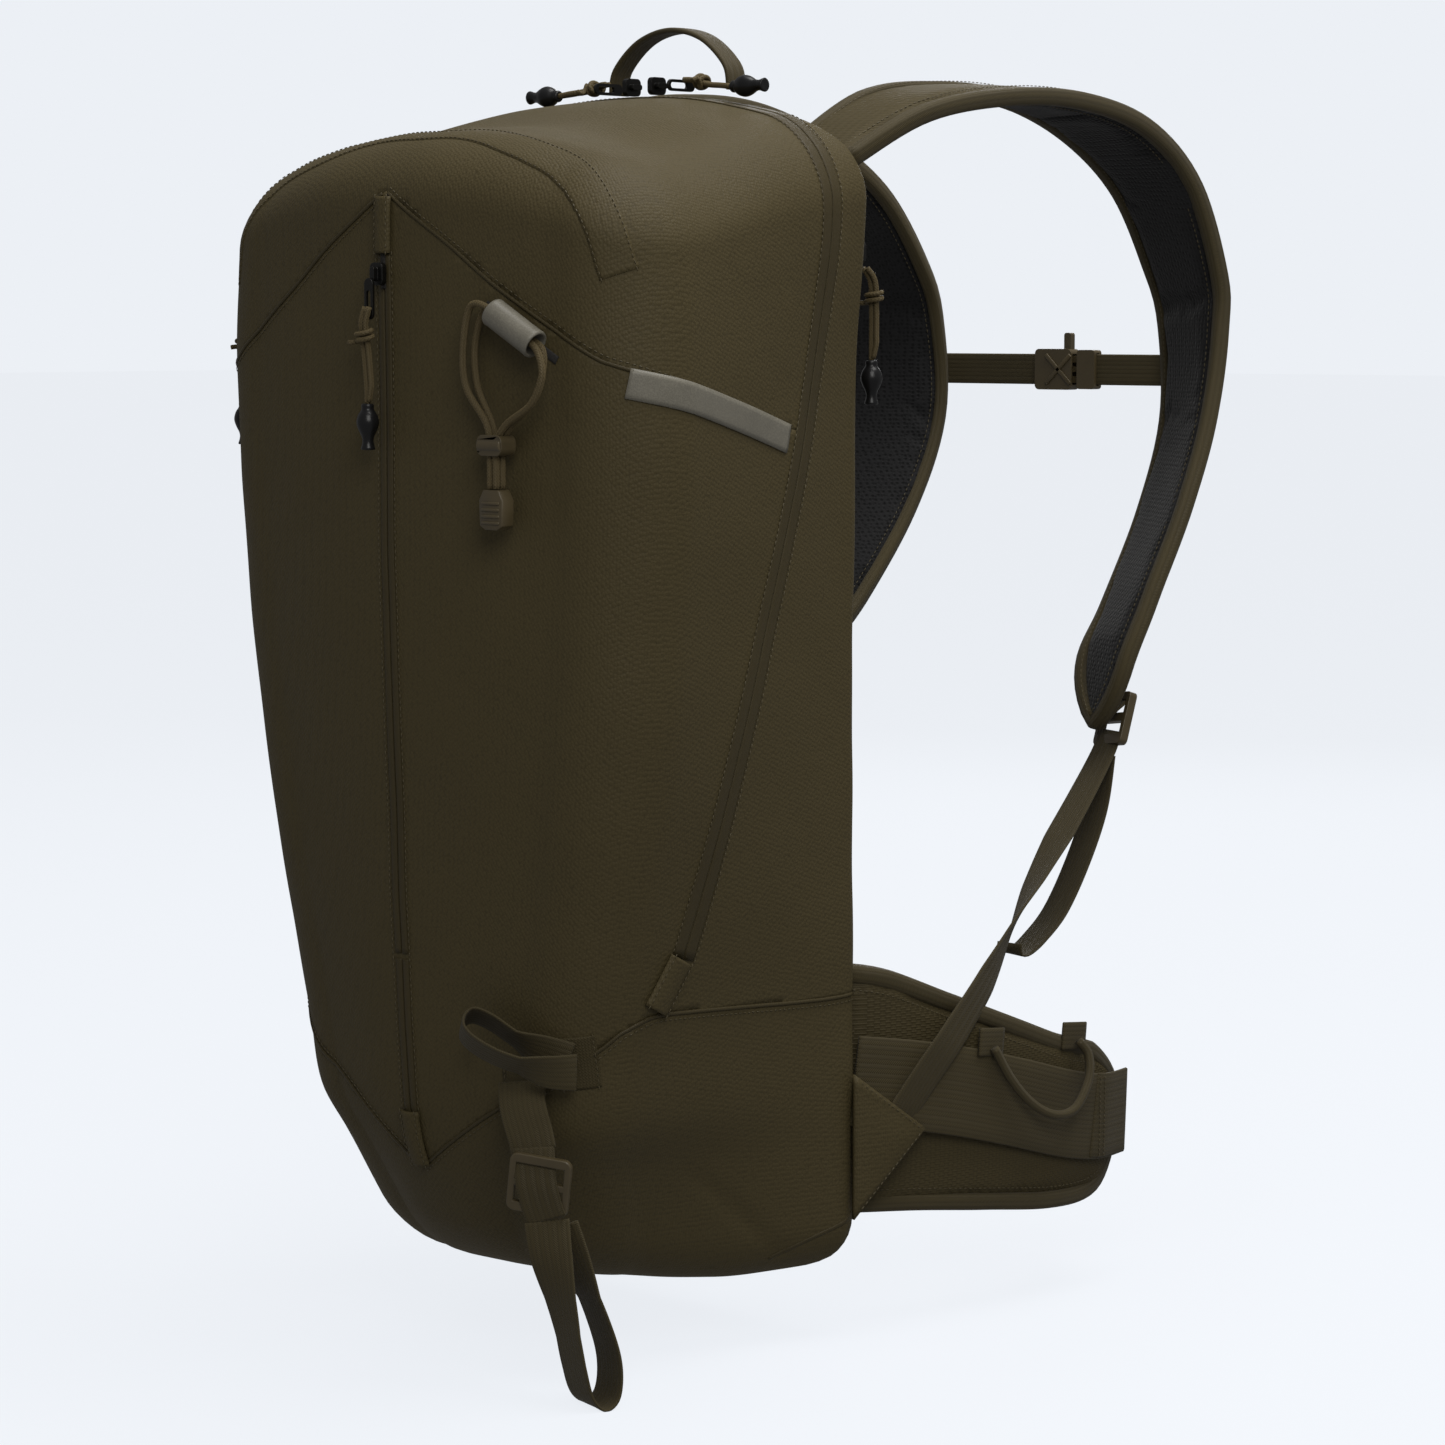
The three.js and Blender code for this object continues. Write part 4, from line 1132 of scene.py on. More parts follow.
def frontPath(low, high, x=0.0, step=12):
    count = max(int((high - low) / step), 4)
    path = []
    for i in range(count + 1):
        z = low + (high - low) * i / count
        path.append(bagSkin.ray_cast(place(x, -260, z), Vector((0, 1, 0)))[0])
    return path


def sidePath(rows, side=1):
    return [castSide(z, y, side) for y, z in rows]


# The middle zip: two welded lips side by side, with stitching along both.
zipStretches = (("", "front", 170, 514, "front_zip"), (" foot", "root", 88, 167, "front_zip_foot"))
for word, body, low, high, node in zipStretches:
    path = frontPath(low, high)
    for sign, lip in ((-1, "left"), (1, "right")):
        piece = skinRibbon("front zip lip " + lip + word, path, trim["lipWidth"], tapeFabric, lift=0.5,
                           thickness=0.5, shift=sign * 2.4, samples=120, across=4, dome=0.35)
        if sign < 0:
            settle(piece, body, "zip_tape", node)
        else:
            settle(piece, body, "zip_tape")
    skinStitches("front zip stitching" + word, path, (-5.8, 5.8), body, 0.5, 120)


def openZipMouth():
    # The mouth above the slider, where the coil parts: a strip in the lining's colour; its darkness is
    # painted shade of the opening.
    path = frontPath(497, 514, step=4)
    mouth = skinRibbon("front zip mouth painted shade", path, 3.4, lining, lift=1.2, thickness=0.5, across=2, samples=12)
    settle(mouth, "front", "zip_tape")


openZipMouth()


def garage(name, path, body, width):
    # Folded hood over a zip's end, with a row of stitches round its edge.
    hood = skinRibbon(name, path, width, fabric, lift=2.0, thickness=1.2, across=8, samples=18, dome=1.6)
    settle(hood, body, "fabric")
    skinStitches(name + " stitching", path, (-width / 2 + 1.6, width / 2 - 1.6), body, 3.0, 18)


garage("front zip upper garage", frontPath(514, 541, step=6), "front", 11.5)
garage("front zip lower garage", frontPath(62, 90, step=6), "root", 13)
for side, word in ((1, "right"), (-1, "left")):
    rows = [(-46 + 2.6 * k, 148 + 4.8 * k) for k in range(6)]
    garage("main zip garage " + word, sidePath(rows, side), "root", 17)


def headSeamPath(side):
    rows = []
    for i in range(24):
        x = 2 + 128 * i / 23
        seamHeight = headSeamAt(x, -111 + 11 * (x / 107) ** 2)
        rows.append(bagSkin.ray_cast(place(side * x, -260, seamHeight), Vector((0, 1, 0)))[0])
    for i in range(16):
        y = -66 + 96 * i / 15
        rows.append(castSide(headSeamAt(140, y), y, side))
    return [p for p in rows if p is not None]


def bootSeamPath(side):
    rows = []
    for i in range(16):
        x = 1 + 84 * i / 15
        y = bagSkin.ray_cast(place(side * x, -260, lowerSeamAt(x, -100)), Vector((0, 1, 0)))[0]
        rows.append(y)
    for i in range(24):
        y = -64 + 160 * i / 23
        rows.append(castSide(lowerSeamAt(120, y), y, side))
    return [p for p in rows if p is not None]


for side, word in ((1, "right"), (-1, "left")):
    headSeam = headSeamPath(side)
    settle(skinRibbon("head seam " + word, headSeam, trim["seamWidth"], tapeFabric, 0.35, 0.5, 4, dome=0.5,
                      samples=130), "front", "fabric")
    skinStitches("head seam stitching " + word, headSeam, (2.9,), "front", 0.4, 130)
    bootSeam = bootSeamPath(side)
    settle(skinRibbon("boot seam " + word, bootSeam, trim["seamWidth"], tapeFabric, 0.35, 0.5, 4, dome=0.5,
                      samples=130), "root", "fabric")
    skinStitches("boot seam stitching " + word, bootSeam, (-2.9,), "root", 0.4, 130)
    cornerSeam = [castSide(z, y, side) for y, z in ((52, 4), (62, 9), (74, 14), (88, 19), (96, 24))]
    cornerSeam = [p for p in cornerSeam if p is not None]
    if len(cornerSeam) > 2:
        settle(skinRibbon("corner seam " + word, cornerSeam, trim["seamWidth"], tapeFabric, 0.35, 0.5, 4,
                          samples=30), "root", "fabric")


bandRows = [(0, -95, 640), (38, -96, 620), (75, -98, 592), (106, -96, 564), (126, -92, 533), (135, -87, 503)]


def onBag(x, y, z):
    return bagSkin.find_nearest(place(x, y, z))[0]


for side, word in ((1, "right"), (-1, "left")):
    path = [onBag(side * x, y, z) for x, y, z in bandRows]
    band = skinRibbon("burst seam band " + word, path, trim["burstWidth"], fabric, 0.3, 0.3, 8, samples=90)
    settle(band, "front", "fabric")
    stitchOffset = trim["burstWidth"] / 2 - 1.2
    skinStitches("burst seam stitching " + word, path, (-stitchOffset, stitchOffset), "front", 0.5, 110)

stripPath = sidePath([(-86, 452.5), (-60, 446.5), (-36, 440.8), (-12, 434.8), (10, 429), (28, 424)])
strip = skinRibbon("reflective strip film", stripPath, trim["stripWidth"], reflective, 1.0, 0.5, 6,
                   samples=60)
settle(strip, "front", "reflective", "reflective_strip")
print("seams and trim made")

# Flat webbing.

webWidths = {
    "axeLoop": 18,
    "ski": 23,
    "skiOverBar": 21,
    "handle": 14,
    "handleFoot": 15,
}
webThickness = 1.5


def flatWeb(name, centres, sides, width, thickness, samples, material=webbing):
    # Webbing with rounded selvedges; sides give the direction across it at each point.
    route = splinePoints(placeAll(centres), samples)
    last = len(sides) - 1
    directions = tangents(route)
    profile = []
    edge = thickness / 2
    for k in range(9):
        t = -1 + 2 * k / 8
        profile.append((t * (width / 2 - edge), edge * (0.92 + 0.08 * (1 - t * t))))
    corner = [(width / 2 - edge * 0.25, edge * 0.62), (width / 2, 0), (width / 2 - edge * 0.25, -edge * 0.62)]
    ring = profile + corner + [(x, -h) for x, h in reversed(profile)] + [(-x, h) for x, h in reversed(corner)]
    verts, uvs = [], []
    walked = 0.0
    for i, (spot, ahead) in enumerate(zip(route, directions)):
        at = i / (samples - 1) * last
        k = min(int(at), last - 1)
        side = Vector(sides[k]).normalized().lerp(Vector(sides[k + 1]).normalized(), at - k)
        side = (side - ahead * side.dot(ahead)).normalized()
        up = side.cross(ahead)
        walked += (spot - route[i - 1]).length if i else 0.0
        for x, h in ring:
            verts.append(spot + (side * x + up * h) / 1000)
            uvs.append((x / 1000, walked))
    piece = addMesh(name, verts, tubeFaces(samples, len(ring)), [material], uvs)
    fixNormals(piece)
    return piece


def crossStitch(name, centre, side, ahead, width, length, body, lift=1.2):
    # Box of stitches with a cross in it, tacking webbing down.
    side, ahead = Vector(side).normalized(), Vector(ahead).normalized()
    up = side.cross(ahead)
    if up.dot(centre - place(0, 0, 300)) < 0:
        up = -up
    spot = centre + up * lift / 1000
    corners = [spot + (side * sx * width + ahead * sy * length) / 2000 for sx, sy in
               ((-1, -1), (1, -1), (1, 1), (-1, 1))]
    lines = [(0, 1), (1, 2), (2, 3), (3, 0), (0, 2), (1, 3)]
    rows = [[(corners[a].lerp(corners[b], t / 6), up) for t in range(7)] for a, b in lines]
    return stitchRows(name, rows, body, "webbing", 0.0026)


loopCentres = [(103, -85, 121), (93, -97, 122), (78, -109, 127), (66, -115.5, 133), (58.5, -117.5, 138.5),
               (55, -114.5, 143.5), (56.5, -109.5, 146.5), (65, -105, 143.5), (80, -98, 134), (98, -85, 126)]
flatAgainst, standingOut = (0.25, 0.35, 0.9), (0.66, -0.5, 0.58)
loopSides = [flatAgainst, (0.45, 0.0, 0.85)] + [standingOut] * 6 + [(0.45, 0.0, 0.85), flatAgainst]
axeLoop = flatWeb("axe loop webbing", loopCentres, loopSides, webWidths["axeLoop"], webThickness, 90)
settle(axeLoop, "root", "webbing", "axe_loop")

skiSide = (0.88, 0.47, -0.12)
skiStrapCentres = [(74, -93.5, 114), (78, -97, 103), (84, -98, 90), (86.5, -98, 82)]
skiStrap = flatWeb("ski strap webbing", skiStrapCentres, [skiSide] * 4, webWidths["ski"], webThickness, 24)
settle(skiStrap, "root", "webbing", "ski_strap")
# The loop turns as it hangs, so that its opening faces sideways at the bottom.
skiLoopCentres = [(93.6, -96.4, 48.5), (97.5, -97, 30), (103, -93.5, 0), (108, -92.5, -22),
                  (110.5, -89.5, -36), (113.5, -83.5, -41.5), (116, -77.5, -36), (115, -75.5, -20),
                  (109.5, -78, 0), (101.5, -85, 26), (96, -91.5, 45)]
skiLoopTurn = [(0.97, -0.24, 0)] * 6
skiLoopSides = [skiSide, (0.92, 0.3, -0.05), (0.97, -0.05, 0), *skiLoopTurn, (0.95, 0.1, 0), skiSide]
skiLoop = flatWeb("ski loop webbing", skiLoopCentres, skiLoopSides, webWidths["ski"], webThickness, 130)
settle(skiLoop, "ski_hanger", "webbing", "ski_loop")
# The strap goes over the buckle's middle bar and back down behind it.
overBar = [(86.5, -98.2, 84), (88.2, -99.4, 76), (90.2, -99.9, 66), (92.2, -98.4, 56), (93.8, -96.6, 49)]
barTurn = flatWeb("ski strap over bar", overBar, [skiSide] * 5, webWidths["skiOverBar"], webThickness, 30)
settle(barTurn, "root", "webbing")


def sewnBase(name, x, z, width, height, body):
    # Small reinforcing patch sewn on the front where webbing leaves the bag.
    levels = [z - height / 2 + height * i / 6 for i in range(7)]
    path = [bagSkin.ray_cast(place(x, -260, level), Vector((0, 1, 0)))[0] for level in levels]
    patch = skinRibbon(name, path, width, wornFabric, 0.8, 0.8, 6, samples=20)
    settle(patch, body, "fabric")
    skinStitches(name + " stitching", path, (-width / 2 + 1.5, width / 2 - 1.5), body, 1.3, 20)


sewnBase("axe loop patch", 98, 124, 20, 26, "root")
sewnBase("ski strap patch", 72, 116, 27, 16, "root")

handleFoot = roofHeightAt(0, 96) + 2.2
archRise = [(-42, 0), (-39, 13), (-22, 27), (0, 32), (22, 27), (39, 13), (42, 0)]
handleArch = [(x, 96, handleFoot + rise) for x, rise in archRise]
carryHandle = flatWeb("carry handle webbing", handleArch, [(0, 1, 0)] * 7, webWidths["handle"],
                      2 * webThickness, 60)
settle(carryHandle, "handle", "webbing", "carry_handle")
for side, word in ((-1, "left"), (1, "right")):
    foot = onBag(side * 50, 96, 600)
    spots = [(onBag(side * x, 96, 610) - datum) * 1000 + Vector((0, 0, 1.4)) for x in (40, 50, 60, 70)]
    tack = flatWeb("handle foot " + word, [tuple(p) for p in spots], [(0, 1, 0)] * 4, webWidths["handleFoot"],
                   1.6, 16)
    settle(tack, "root", "webbing")
    crossStitch("handle foot stitching " + word, foot + Vector((side * 0.008, 0, 0)), (0, 1, 0), (1, 0, 0),
                10, 14, "root", 2.6)
print("webbing made")

# The padded harness.

harness = {
    "strapThickness": 9.0,
    "wingThickness": 11.0,
    "padPressure": 4.0,
    "padSwell": 0.003,          # furthest that the stuffing pushes the cloth out
    "remesh": 0.0034,
    "clothFrames": 20,
    "clothQuality": 4,
    "bindingWidth": 8.0,
    "wingBindingWidth": 10,
    "strapTipRadius": 0.030,
    "wingTipRadius": 0.034,
    "beltWidth": 47,
    "beltEndWidth": 46,
    "strapWebWidth": 20,
    "ladderTapeWidth": 19.5,
    "sternumWidth": 18,
}


def bandRoute(leftRows, rightRows, samples, roundEnd):
    # Centre, half width, across and up at each step between two edge lines.
    left = splinePoints(placeAll(leftRows), 200)
    right = splinePoints(placeAll(rightRows), 200)
    centres = [(a + b) / 2 for a, b in zip(left, right)]
    total = pathLength(centres)
    steps = []
    for i in range(samples):
        t = i / (samples - 1)
        k = min(int(t * 199), 198)
        f = t * 199 - k
        a = left[k].lerp(left[k + 1], f)
        b = right[k].lerp(right[k + 1], f)
        half = (b - a).length / 2
        walked = t * total
        share = 1.0
        if total - walked < roundEnd:
            share = math.sqrt(max(1 - ((roundEnd - (total - walked)) / roundEnd) ** 2, 0.0))
        steps.append([(a + b) / 2, half * share, (b - a).normalized()])
    for i, step in enumerate(steps):
        ahead = (steps[min(i + 1, samples - 1)][0] - steps[max(i - 1, 0)][0]).normalized()
        across = (step[2] - ahead * step[2].dot(ahead)).normalized()
        step[2] = across
        step.append(across.cross(ahead))
    return steps


def padForm(name, steps, thickness, materials):
    verts, faces = [], []
    sides = 14
    for centre, half, across, up in steps:
        half = max(half, 0.0015)
        for k in range(sides):
            angle = 2 * math.pi * k / sides
            c, s = math.cos(angle), math.sin(angle)
            x = math.copysign(abs(c) ** 0.45, c)
            h = math.copysign(abs(s) ** 0.6, s)
            verts.append(centre + across * x * half + up * h * thickness / 2000)
    for i in range(len(steps) - 1):
        for k in range(sides):
            a, b = i * sides + k, i * sides + (k + 1) % sides
            faces.append((a, a + sides, b + sides, b))
    faces.append(tuple(range(sides)))
    faces.append(tuple(reversed(range(len(verts) - sides, len(verts)))))
    piece = addMesh(name, verts, faces, materials)
    fixNormals(piece)
    return piece


def puff(piece, cap, steps):
    # Stuffs the pad: cloth under inner pressure, with its travel capped.
    remesh = piece.modifiers.new("remesh", "REMESH")
    remesh.mode = "VOXEL"
    remesh.voxel_size = harness["remesh"]
    depsgraph = bpy.context.evaluated_depsgraph_get()
    start = bpy.data.meshes.new_from_object(piece.evaluated_get(depsgraph))
    piece.modifiers.clear()
    materials = list(piece.data.materials)
    piece.data = start
    for material in materials:
        if material.name not in [m.name for m in start.materials if m]:
            start.materials.append(material)
    before = [v.co.copy() for v in start.vertices]
    cloth = piece.modifiers.new("cloth", "CLOTH")
    cloth.settings.use_pressure = True
    cloth.settings.uniform_pressure_force = harness["padPressure"]
    cloth.settings.effector_weights.gravity = 0
    cloth.settings.quality = harness["clothQuality"]
    cloth.point_cache.frame_start = 1
    cloth.point_cache.frame_end = harness["clothFrames"]
    for step in range(1, harness["clothFrames"] + 1):
        bpy.context.scene.frame_set(step)
    depsgraph = bpy.context.evaluated_depsgraph_get()
    result = bpy.data.meshes.new_from_object(piece.evaluated_get(depsgraph))
    piece.modifiers.clear()
    # Only the rise off the pad's plane is kept, so the edge stays in its binding.
    for v, old in zip(result.vertices, before):
        up = min(steps, key=lambda s: (s[0] - old).length_squared)[3]
        rise = (v.co - old).dot(up)
        v.co = old + up * max(min(rise, cap), -cap)
    piece.data = result
    bpy.context.scene.frame_set(1)
    for polygon in result.polygons:
        polygon.use_smooth = True
    addSubdivision(piece)
    return piece


def paintFaces(piece, steps, outerIndex, innerIndex):
    # Face fabric on the outside, mesh on the side against the wearer.
    for polygon in piece.data.polygons:
        near = min(steps, key=lambda s: (s[0] - polygon.center).length_squared)
        polygon.material_index = outerIndex if polygon.normal.dot(near[3]) > -0.15 else innerIndex


def rimBinding(name, steps, width, thickness):
    # Folded binding all round the pad's edge, open at a sewn-in start.
    loop = [(c + a * h, u) for c, h, a, u in steps]
    tip = [(steps[-1][0], steps[-1][3])]
    back = [(c - a * h, u) for c, h, a, u in reversed(steps)]
    rows = loop + tip + back
    spots = [r[0] for r in rows]
    ahead = tangents(spots)
    verts, uvs = [], []
    ring = []
    for k in range(14):
        angle = 2 * math.pi * k / 14
        c, s = math.cos(angle), math.sin(angle)
        x = math.copysign(abs(c) ** 0.7, c) * width / 2
        ring.append((x, math.copysign(abs(s) ** 0.5, s) * thickness / 2))
    walked = 0.0
    for i, (spot, up) in enumerate(rows):
        out = up.cross(ahead[i]).normalized()
        walked += (spot - spots[i - 1]).length if i else 0.0
        for k, (x, h) in enumerate(ring):
            verts.append(spot + (out * x + up * h) / 1000)
            uvs.append((k * 0.002, walked))
    piece = addMesh(name, verts, tubeFaces(len(rows), len(ring)), [binding], uvs)
    fixNormals(piece)
    return piece


def padStitches(name, steps, inset, height, body):
    rows = []
    for sign in (-1, 1):
        for face in (-1, 1):
            row = []
            for centre, half, across, up in steps:
                if half > inset / 1000 + 0.002:
                    spot = centre + across * sign * (half - inset / 1000)
                    row.append((spot + up * face * height / 1000, up * face))
            rows.append(row)
    return stitchRows(name, rows, body)


strapOuter = [(120, 98, 562), (132, 140, 585), (137, 196, 596), (140, 259, 598), (143, 314, 587),
              (145, 356, 557), (146, 380, 509), (146, 383, 476), (146, 373, 427), (145, 351, 377),
              (142, 325, 329), (139, 310, 297), (132, 304, 262)]
strapInner = [(76, 98, 568), (81, 148, 596), (84, 205, 603), (86, 262, 600), (86, 318, 583), (84, 368, 553),
              (82, 404, 507), (82, 417, 476), (82, 420, 425), (84, 397, 374), (88, 359, 324), (92, 330, 293),
              (101, 317, 259)]
wingTop = [(101, 100, 150), (114, 112, 148), (129, 150, 132), (140, 190, 116), (146, 230, 101),
           (146, 270, 92), (140, 303, 89)]
wingLow = [(101, 100, 22), (114, 112, 20), (129, 150, 17), (140, 190, 12), (146, 230, 7),
           (146, 258, 8), (141, 284, 20)]


def mirrored(rows, side):
    return [(side * x, y, z) for x, y, z in rows]


harnessFabric = wovenMaterial("harness weave", olive, 0.0013, math.radians(45), 0.64, 0.00026, 0.03, False)


def makeShoulder(side, word):
    body = "strap_" + word
    left, right = (strapInner, strapOuter) if side > 0 else (strapOuter, strapInner)
    steps = bandRoute(mirrored(left, side), mirrored(right, side), 90, harness["strapTipRadius"])
    if steps[30][3].z < 0:
        steps = [[c, h, a, -u] for c, h, a, u in steps]
    thin = [[c, max(h - 0.0015, 0.001), a, u] for c, h, a, u in steps]
    pad = padForm("shoulder pad " + word, thin, harness["strapThickness"] - 3, [harnessFabric, meshLining])
    puff(pad, harness["padSwell"], steps)
    paintFaces(pad, steps, 0, 1)
    settle(pad, body, "fabric", "shoulder_pad_" + word)
    rimSteps = [[c, max(h - 0.003, 0.0005), a, u] for c, h, a, u in steps]
    rim = rimBinding("shoulder binding " + word, rimSteps, harness["bindingWidth"],
                     harness["strapThickness"] + 0.5)
    settle(rim, body, "webbing")
    padStitches("shoulder stitching " + word, steps, 8.6, harness["strapThickness"] / 2 + 0.6, body)
    # Tape from under the pad's tip to the upper bar of the ladder lock.
    rows = [(steps[-12][0] - datum) * 1000 + Vector((0, 1.5, 0)),
            (steps[-2][0] - datum) * 1000 + Vector((0, 0.5, 0)),
            Vector((side * 120.5, 318.5, 268)), Vector((side * 121, 322.5, 271))]
    tape = flatWeb("ladder tape " + word, [tuple(r) for r in rows], [tuple(steps[-2][2])] * 4,
                   harness["ladderTapeWidth"], webThickness, 30)
    settle(tape, body, "webbing")


for side, word in ((1, "right"), (-1, "left")):
    makeShoulder(side, word)
print("shoulder straps made")


def makeHip(side, word):
    body = "hip_" + word
    left, right = (wingTop, wingLow) if side > 0 else (wingLow, wingTop)
    steps = bandRoute(mirrored(left, side), mirrored(right, side), 60, harness["wingTipRadius"])
    if steps[30][3].x * side < 0:
        steps = [[c, h, a, -u] for c, h, a, u in steps]
    thin = [[c, max(h - 0.002, 0.001), a, u] for c, h, a, u in steps]
    wing = padForm("hip wing " + word, thin, harness["wingThickness"] - 4, [harnessFabric, meshLining])
    puff(wing, harness["padSwell"], steps)
    paintFaces(wing, steps, 0, 1)
    settle(wing, body, "fabric", "hip_wing_" + word)
    rimSteps = [[c, max(h - 0.004, 0.0005), a, u] for c, h, a, u in steps]
    rim = rimBinding("hip binding " + word, rimSteps, harness["wingBindingWidth"],
                     harness["wingThickness"] + 0.6)
    settle(rim, body, "webbing")
    padStitches("hip stitching " + word, steps, 11.5, harness["wingThickness"] / 2 + 0.4, body)
    rows = [(123, 98, 92), (133.5, 128, 87), (142.5, 160, 80), (150.3, 196, 70), (155.3, 236, 58),
            (155.4, 266, 52), (152, 292, 51)]
    belt = flatWeb("hip belt webbing " + word, mirrored(rows, side), [(0, 0.14, 1)] * 7,
                   harness["beltWidth"], 2.0, 80)
    settle(belt, body, "webbing", "hip_web_" + word)
    # Folded end of the belt with a stitched slit just behind it.
    endRows = [(156.6, 258, 54), (156.9, 268, 52.6), (154.3, 284, 51.8), (153.2, 291, 51.6)]
    fold = flatWeb("hip belt folded end " + word, mirrored(endRows, side), [(0, 0.14, 1)] * 4,
                   harness["beltEndWidth"], webThickness, 20)
    settle(fold, body, "webbing")
    out = Vector((side, 0, 0))
    for name, y, z in (("front", 266, 52), ("back", 262, 52.5)):
        rowsOf = [[(place(side * 158.0, y + 0.14 * dz * 0.1, z + dz), out) for dz in range(-21, 22, 3)]]
        stitchRows("hip slit stitching " + name + " " + word, rowsOf, body, "webbing", 0.0026)


for side, word in ((1, "right"), (-1, "left")):
    makeHip(side, word)
print("hip belt made")


backPad = {
    "columns": 56,
    "rows": 110,
    "thickness": 12,
    "crown": 11.8,
    "corner": 30,               # radius of the board's corners
    "channelDepth": 4.4,
    "chevronPitch": 62,
    "chevronSlope": 0.55,
    "piping": 0.004,
}


def makeBackPad():
    # Moulded back pad: rounded board with chevron channels, covered in spacer mesh.
    low, high = padLow, padHigh
    half = (high[0] - low[0]) / 2 * 1000
    tall = (high[2] - low[2]) / 2 * 1000
    middle = (low[2] + high[2]) / 2
    across, up = backPad["columns"], backPad["rows"]
    corner, pitch = backPad["corner"], backPad["chevronPitch"]
    verts, faces = [], []
    for j in range(up + 1):
        for i in range(across + 1):
            x = -half + 2 * half * i / across
            z = -tall + 2 * tall * j / up
            over = max(abs(z) - (tall - corner), 0)
            width = half - corner + math.sqrt(max(corner ** 2 - over ** 2, 0.0))
            x *= width / half
            edge = min(width - abs(x), tall - abs(z))
            rise = smoothStep(edge, 0, 11)
            groove = abs(((z + abs(x) * backPad["chevronSlope"]) % pitch) - pitch / 2)
            channel = 1 - smoothStep(groove, 2.0, 7.5)
            spine = 1 - smoothStep(abs(x), 5, 13)
            hollow = max(channel * smoothStep(edge, 9, 20), spine * smoothStep(edge, 10, 26))
            depth = backPad["crown"] * rise - backPad["channelDepth"] * hollow - backPad["thickness"]
            verts.append(Vector((x / 1000, high[1] + min(depth, -0.05) / 1000, middle + z / 1000)))
    row = across + 1
    for j in range(up):
        for i in range(across):
            a = j * row + i
            faces.append((a, a + row, a + row + 1, a + 1))
    pad = addMesh("back pad mesh", verts, faces, [meshLining])
    wall = pad.modifiers.new("wall", "SOLIDIFY")
    wall.thickness = 0.0008
    wall.offset = -1
    settle(pad, "root", "lining", "back_pad")
    outline = []
    for i in range(121):
        angle = 2 * math.pi * i / 120
        c, s = math.cos(angle), math.sin(angle)
        power = 0.22
        x = math.copysign(abs(c) ** power, c) * (half - 1.5) / 1000
        z = middle + math.copysign(abs(s) ** power, s) * (tall - 1.5) / 1000
        outline.append(Vector((x, high[1] - 0.0105, z)))
    rim, _ = cordTube("back pad piping", outline, backPad["piping"], 240)
    rim.data.materials[0] = binding
    settle(rim, "root", "fabric")


makeBackPad()
print("back pad made")

# Webbing of the harness.

webRun = [(130.3, 110, 56), (134, 122, 72), (139.8, 136, 92), (143.8, 154, 112), (141, 188, 140),
          (127, 244, 182), (121, 291, 222), (120, 312, 244), (121, 318, 256)]
webSides = [(0, 0.7, -0.7), (0, 0.7, -0.7), (0, 0.65, -0.75), (-0.15, 0.6, -0.7), (-0.45, 0.4, -0.5),
            (-0.85, 0.2, -0.3), (-1, 0.1, 0), (-1, 0.2, 0), (-1, 0.3, 0)]
tailRun = [(120, 312.2, 243), (119, 307, 214), (117.5, 294, 186), (116, 276, 160), (115, 258, 146),
           (114, 246, 140), (114, 238, 141), (114, 238, 146)]

for side, word in ((1, "right"), (-1, "left")):
    run = flatWeb("strap webbing " + word, mirrored(webRun, side), mirrored(webSides, side),
                  harness["strapWebWidth"], webThickness, 80)
    settle(run, "root", "webbing", "strap_web_" + word)
    tail = flatWeb("strap tail " + word, mirrored(tailRun, side), [(side, side * -0.2, 0)] * 8,
                   harness["strapWebWidth"], 1.4, 60)
    settle(tail, "root", "webbing")

sternumDepth = 428.4
buckleMiddle = -3.4
for word, start, side, body in (("left", buckleMiddle - 13.5, -1, "strap_left"),
                                ("right", buckleMiddle + 24, 1, "sternum_male")):
    rows = [(start, sternumDepth, 453), ((start + side * 82) / 2, sternumDepth, 453),
            (side * 82, sternumDepth, 453), (side * 92, sternumDepth - 2.1, 453),
            (side * 102, sternumDepth - 6.9, 453)]
    web = flatWeb("sternum webbing " + word, rows, [(0, 0, 1)] * 5, harness["sternumWidth"], webThickness, 50)
    settle(web, body, "webbing", "sternum_web_" + word)
print("harness webbing made")

# Buckles, clips and other hardware.

def refineNode(node, body, slot, material, bevel=0.0005, segments=2, smooth=True, angle=32):
    # The node's own shape with softened edges and a moulded finish.
    source = bpy.data.objects[node]
    mesh = source.data.copy()
    mesh.materials.clear()
    mesh.materials.append(material)
    shape = bmesh.new()
    shape.from_mesh(mesh)
    bmesh.ops.remove_doubles(shape, verts=shape.verts, dist=1e-6)
    bmesh.ops.dissolve_limit(shape, angle_limit=math.radians(2), verts=shape.verts, edges=shape.edges)
    shape.to_mesh(mesh)
    shape.free()
    for polygon in mesh.polygons:
        polygon.use_smooth = smooth
        polygon.material_index = 0
    piece = addPiece(node + "_finished", mesh)
    if bevel:
        addBevel(piece, bevel, segments, angle)
        weighted = piece.modifiers.new("shading", "WEIGHTED_NORMAL")
        weighted.keep_sharp = True
    return settle(piece, body, slot, node)


